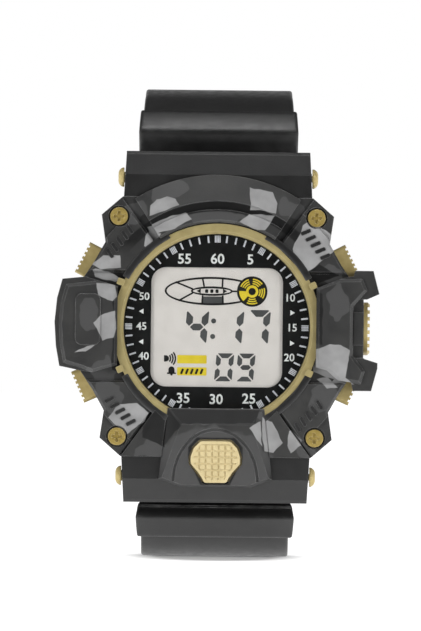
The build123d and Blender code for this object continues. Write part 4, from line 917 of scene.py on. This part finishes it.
oval_x, oval_y = OVAL_CENTRE
oval = bmesh.new()
add_oval_line(oval, oval_x, oval_y, OVAL_HALF[0], OVAL_HALF[1], OVAL_LINE)
add_oval_line(oval, oval_x, oval_y, OVAL_INNER_HALF[0], OVAL_INNER_HALF[1], OVAL_LINE)
for x0, y0, x1, y1 in OVAL_SPOKES:
    run = Vector((x1 - x0, y1 - y0))
    add_bar(
        oval,
        at(oval_x + (x0 + x1) / 2, oval_y + (y0 + y1) / 2, math.atan2(run.y, run.x)),
        run.length,
        OVAL_SPOKE_LINE,
    )
for side in (-1, 1):
    place = at(oval_x + side * OVAL_ARROW[0], oval_y, side * math.pi / 2 + math.pi)
    add_disc(oval, place, OVAL_ARROW[1], 3)
for side in (-1, 0, 1):
    add_bar(oval, at(oval_x + side * OVAL_SQUARE_PITCH, oval_y), *OVAL_SQUARE)
finish_print("display_day_oval", oval, SEGMENT_HEIGHT, black_ink, DISPLAY_FRONT)

day = bmesh.new()
add_bar(day, at(oval_x + OVAL_DAY[0], oval_y + OVAL_DAY[1]), OVAL_DAY[2], OVAL_DAY[3])
finish_print("display_day_mark", day, SEGMENT_HEIGHT / 2, segment_ink, DISPLAY_FRONT)

wheel_x, wheel_y = WHEEL_CENTRE
wheel = bmesh.new()
add_disc(wheel, at(wheel_x, wheel_y), WHEEL_RADIUS, 56)
finish_print("display_wheel_ground", wheel, SEGMENT_HEIGHT * 1.5, black_ink, DISPLAY_FRONT)
wheel = bmesh.new()
add_sector(wheel, wheel_x, wheel_y, WHEEL_HUB[0], WHEEL_HUB[1], 0.0, 2 * math.pi, 32)
for arm, open_arcs in WHEEL_ARMS:
    start = math.radians(arm - WHEEL_ARM_HALF)
    sweep = math.radians(2 * WHEEL_ARM_HALF)
    rows = WHEEL_ARCS if open_arcs else [(WHEEL_HUB[1], WHEEL_ARCS[-1][1])]
    for inner, outer in rows:
        add_sector(wheel, wheel_x, wheel_y, inner, outer, start, sweep, 8)
finish_print("display_wheel_sectors", wheel, SEGMENT_HEIGHT * 2, yellow_ink, DISPLAY_FRONT)

bars = bmesh.new()
for x, y, length, width in BARS:
    add_bar(bars, at(x, y), length, width, BAR_CORNER)
finish_print("display_bars", bars, SEGMENT_HEIGHT, yellow_ink, DISPLAY_FRONT)

icons = bmesh.new()
horn_x, horn_y = HORN_CENTRE
body_offset, body_length, body_width = HORN_BODY
add_bar(icons, at(horn_x + body_offset, horn_y), body_length, body_width)
add_sector(icons, horn_x, horn_y, 0.0, HORN_MOUTH, -math.pi / 2, math.pi, 8)
offset, first, pitch, width, reach = HORN_RIPPLE
for ripple in range(HORN_RIPPLE_COUNT):
    radius = first + pitch * ripple
    add_sector(icons, horn_x + offset, horn_y, radius, radius + width, -reach, 2 * reach, 8)
bell_x, bell_y = BELL_CENTRE
add_sector(icons, bell_x, bell_y + BELL_CROWN[0], 0.0, BELL_CROWN[1], 0.0, math.pi, 10)
for rise, length, width, corner in BELL_BARS:
    add_bar(icons, at(bell_x, bell_y + rise), length, width, corner)
add_disc(icons, at(bell_x, bell_y + BELL_CLAPPER[0]), BELL_CLAPPER[1], 12)
pitch, length, width, corner = SLASH
for slash in range(SLASH_COUNT):
    along = (slash - (SLASH_COUNT - 1) / 2) * pitch
    add_bar(icons, at(BARS[1][0] + along, BARS[1][1], SLASH_LEAN), length, width, corner)
finish_print("display_icons", icons, SEGMENT_HEIGHT * 1.5, black_ink, DISPLAY_FRONT)

# Case details

marks = bmesh.new()
for x, y, turn in BLOCK_MARKS:
    for dash in range(DASH_COUNT):
        along = (dash - (DASH_COUNT - 1) / 2) * DASH_PITCH
        place = at(x, y, math.radians(turn)) @ Matrix.Translation((along, 0.0, 0.0))
        lean = Matrix.Rotation(math.pi / 2 - DASH_LEAN, 4, "Z")
        add_bar(marks, place @ lean, DASH_LENGTH, DASH_WIDTH, DASH_CORNER)
finish_print("bezel_block_dashes", marks, DASH_HEIGHT, case_resin, BEZEL_BLOCK_FRONT)

lips = bmesh.new()
for start, end in LIP_SPANS:
    add_sector(lips, 0.0, 0.0, LIP_INNER, LIP_OUTER, math.radians(start), math.radians(end - start), 10)
give_thickness(lips, LIP_HEIGHT)
bmesh.ops.bevel(
    lips,
    geom=sharp_edges(lips),
    offset=LIP_EDGE,
    offset_type="OFFSET",
    segments=2,
    profile=0.5,
    affect="EDGES",
    material=-1,
)
lip_place = facing(RING_FRONT + LIP_RISE * MM)
finish_piece("bezel_inner_lips", lips, "case", case_resin, lip_place, smooth=SMOOTH_ANGLE)

tabs = bmesh.new()
for x, y, turn in RING_TABS:
    add_bar(tabs, at(x, y, math.radians(turn)), RING_TAB_LENGTH, RING_TAB_WIDTH, RING_TAB_CORNER)
give_thickness(tabs, RING_TAB_HEIGHT)
tab_place = facing(RING_FRONT + RING_TAB_RISE * MM)
finish_piece("ring_corner_tabs", tabs, "case", ring_lacquer, tab_place)

# Straps

rounded_copy("upper_strap", "upper_strap_moulding", "upper_strap", strap_resin, STRAP_EDGE)
rounded_copy("lower_strap", "lower_strap_moulding", "lower_strap", strap_resin, STRAP_EDGE)

# Button springs, as steel copies that stand for their CAD nodes

for node, joint, axis, closed_end in (
    ("front_button_spring", "front_button_press", (0.0, 1.0, 0.0), 1),
    ("side_button_spring", "side_button_press", (1.0, 0.0, 0.0), 0),
):
    piece = finish_piece(node + "_coil", merged_copy(node), "case", steel, smooth=SMOOTH_ANGLE)
    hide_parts(node)
    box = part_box(node)
    length = Vector(axis).dot(box[1] - box[0])
    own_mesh(piece)

# Stage, lamps and camera


def seen_rays(tree):
    """1 for what the camera, a reflection or glass sees, 0 for light that falls on the object."""
    path = add(tree, "ShaderNodeLightPath", {})
    seen = path.outputs["Is Camera Ray"]
    for kind in ("Is Glossy Ray", "Is Transmission Ray"):
        seen = add(tree, "ShaderNodeMath", {0: seen, 1: path.outputs[kind]}, operation="MAXIMUM").outputs[0]
    return seen, path.outputs["Is Camera Ray"]


def paper_floor():
    """A pale sheet that looks white and takes the object's shadow: it glows outside an oval under and in front of
    the watch, and the oval is a painted shadow.
    """
    bm = bmesh.new()
    bmesh.ops.create_grid(bm, x_segments=8, y_segments=8, size=FLOOR_HALF_WIDTH)
    mesh = bpy.data.meshes.new("floor")
    bm.to_mesh(mesh)
    bm.free()
    sheet = bpy.data.objects.new("floor", mesh)
    bpy.context.scene.collection.objects.link(sheet)
    material = bpy.data.materials.new("paper_floor")
    material.use_nodes = True
    tree = material.node_tree
    tree.nodes.remove(tree.nodes["Principled BSDF"])
    where = add(tree, "ShaderNodeTexCoord", {})
    local = add(
        tree,
        "ShaderNodeMapping",
        {
            "Vector": where.outputs["Object"],
            "Location": (DIAL_X, SHADE_MIDDLE_Y, 0.0),
            "Scale": (SHADE_HALF[0], SHADE_HALF[1], 1.0),
        },
        vector_type="TEXTURE",
    )
    far = add(tree, "ShaderNodeVectorMath", {0: local.outputs["Vector"]}, operation="LENGTH").outputs["Value"]
    # Less glow inside the oval: a painted shadow under and in front of the watch
    shade = spread(tree, far, SHADE_START, SHADE_END, FLOOR_GLOW, 1.0)
    seen, camera_ray = seen_rays(tree)
    unshaded = spread(tree, camera_ray, 0.0, 1.0, FLOOR_MIRRORED, 0.0)
    glow_level = add(tree, "ShaderNodeMath", {0: shade, 1: unshaded}, operation="MAXIMUM").outputs[0]
    paper = add(tree, "ShaderNodeBsdfDiffuse", {"Color": (0.8, 0.8, 0.8, 1.0)})
    glow = add(tree, "ShaderNodeEmission", {"Color": (1.0, 1.0, 1.0, 1.0), "Strength": glow_level})
    lit = add(tree, "ShaderNodeAddShader", {0: paper.outputs["BSDF"], 1: glow.outputs["Emission"]})
    place = add(tree, "ShaderNodeSeparateXYZ", {"Vector": where.outputs["Object"]})
    dark_front = spread(tree, place.outputs["Y"], FLOOR_FRONT_NEAR, FLOOR_FRONT_FAR, 0.0, 1.0 - FRONT_DARK)
    not_camera = spread(tree, camera_ray, 0.0, 1.0, 1.0, 0.0)
    dark_share = add(tree, "ShaderNodeMath", {0: dark_front, 1: not_camera}, operation="MULTIPLY")
    dark = add(tree, "ShaderNodeEmission", {"Color": (1.0, 1.0, 1.0, 1.0), "Strength": 0.0})
    either = {0: dark_share.outputs[0], 1: lit.outputs["Shader"], 2: dark.outputs["Emission"]}
    shown = add(tree, "ShaderNodeMixShader", either)
    fill = add(tree, "ShaderNodeEmission", {"Color": (1.0, 1.0, 1.0, 1.0), "Strength": FLOOR_FILL})
    bounced = add(tree, "ShaderNodeAddShader", {0: paper.outputs["BSDF"], 1: fill.outputs["Emission"]})
    by_ray = {0: seen, 1: bounced.outputs["Shader"], 2: shown.outputs["Shader"]}
    mixed = add(tree, "ShaderNodeMixShader", by_ray)
    tree.links.new(mixed.outputs["Shader"], tree.nodes["Material Output"].inputs["Surface"])
    mesh.materials.append(material)


def studio_world():
    """White to the eye all round; reflections see the studio's darker front, where the camera stands."""
    world = bpy.data.worlds.new("studio")
    bpy.context.scene.world = world
    world.use_nodes = True
    tree = world.node_tree
    ambient = tree.nodes["Background"]
    ambient.inputs["Color"].default_value = (1.0, 1.0, 1.0, 1.0)
    ambient.inputs["Strength"].default_value = AMBIENT
    way = add(tree, "ShaderNodeTexCoord", {})
    front, up = [
        add(
            tree,
            "ShaderNodeVectorMath",
            {0: way.outputs["Generated"], 1: axis},
            operation="DOT_PRODUCT",
        ).outputs["Value"]
        for axis in ((0.0, -1.0, 0.0), (0.0, 0.0, 1.0))
    ]
    mirrored = add(
        tree,
        "ShaderNodeMath",
        {
            0: spread(tree, front, FRONT_START, FRONT_FULL, 1.0, FRONT_DARK),
            1: spread(tree, up, ABOVE_START, ABOVE_FULL, 1.0, ABOVE_DARK),
        },
        operation="MINIMUM",
    ).outputs[0]
    seen, camera_ray = seen_rays(tree)
    level = add(tree, "ShaderNodeMath", {0: camera_ray, 1: mirrored}, operation="MAXIMUM").outputs[0]
    white = add(tree, "ShaderNodeBackground", {"Color": (1.0, 1.0, 1.0, 1.0), "Strength": level})
    by_ray = {0: seen, 1: ambient.outputs["Background"], 2: white.outputs["Background"]}
    mixed = add(tree, "ShaderNodeMixShader", by_ray)
    tree.links.new(mixed.outputs["Shader"], tree.nodes["World Output"].inputs["Surface"])


paper_floor()
studio_world()


def softbox(name, place, width, height, power, lights=True, mirrored=True):
    """A lamp aimed at the dial: place, width and height in metres, power in watts."""
    lamp = bpy.data.lights.new(name, "AREA")
    lamp.shape = "RECTANGLE"
    lamp.size = width
    lamp.size_y = height
    lamp.energy = power
    box = bpy.data.objects.new(name, lamp)
    box.location = place
    aim = Vector((DIAL_X, DIAL_FRONT, DIAL_Z))
    box.rotation_euler = (aim - Vector(place)).to_track_quat("-Z", "Y").to_euler()
    box.visible_diffuse = lights
    box.visible_glossy = mirrored
    bpy.context.scene.collection.objects.link(box)


softbox("lamp_above", (0.0, -0.3, 0.75), 0.5, 0.16, 0.5)
softbox("strip_above", (0.0, -0.22, 0.6), 0.6, 0.08, 1.0, lights=False)
softbox("lamp_left", (-0.6, -0.7, 0.1), 0.35, 0.5, 5.2, mirrored=False)
softbox("lamp_right", (0.6, -0.7, 0.1), 0.35, 0.5, 5.2, mirrored=False)

camera_data = bpy.data.cameras.new("camera")
camera_data.sensor_width = SENSOR_LONG_SIDE
camera_data.lens = SENSOR_LONG_SIDE * CAMERA_DISTANCE / (PHOTO_HEIGHT / PIXELS_PER_MM * MM)
camera_data.clip_end = FAR_CLIP
camera = bpy.data.objects.new("camera", camera_data)
camera.matrix_world = (
    Matrix.Translation((
        DIAL_X - (DIAL_PIXEL_X - PHOTO_WIDTH / 2) / PIXELS_PER_MM * MM,
        BEZEL_BLOCK_FRONT - CAMERA_DISTANCE,
        DIAL_Z + (DIAL_PIXEL_Y - PHOTO_HEIGHT / 2) / PIXELS_PER_MM * MM,
    ))
    @ Matrix.Rotation(math.pi / 2, 4, "X")
    @ Matrix.Rotation(CAMERA_ROLL, 4, "Z")
)
bpy.context.scene.collection.objects.link(camera)
bpy.context.scene.camera = camera
bpy.context.scene.view_settings.view_transform = "Standard"
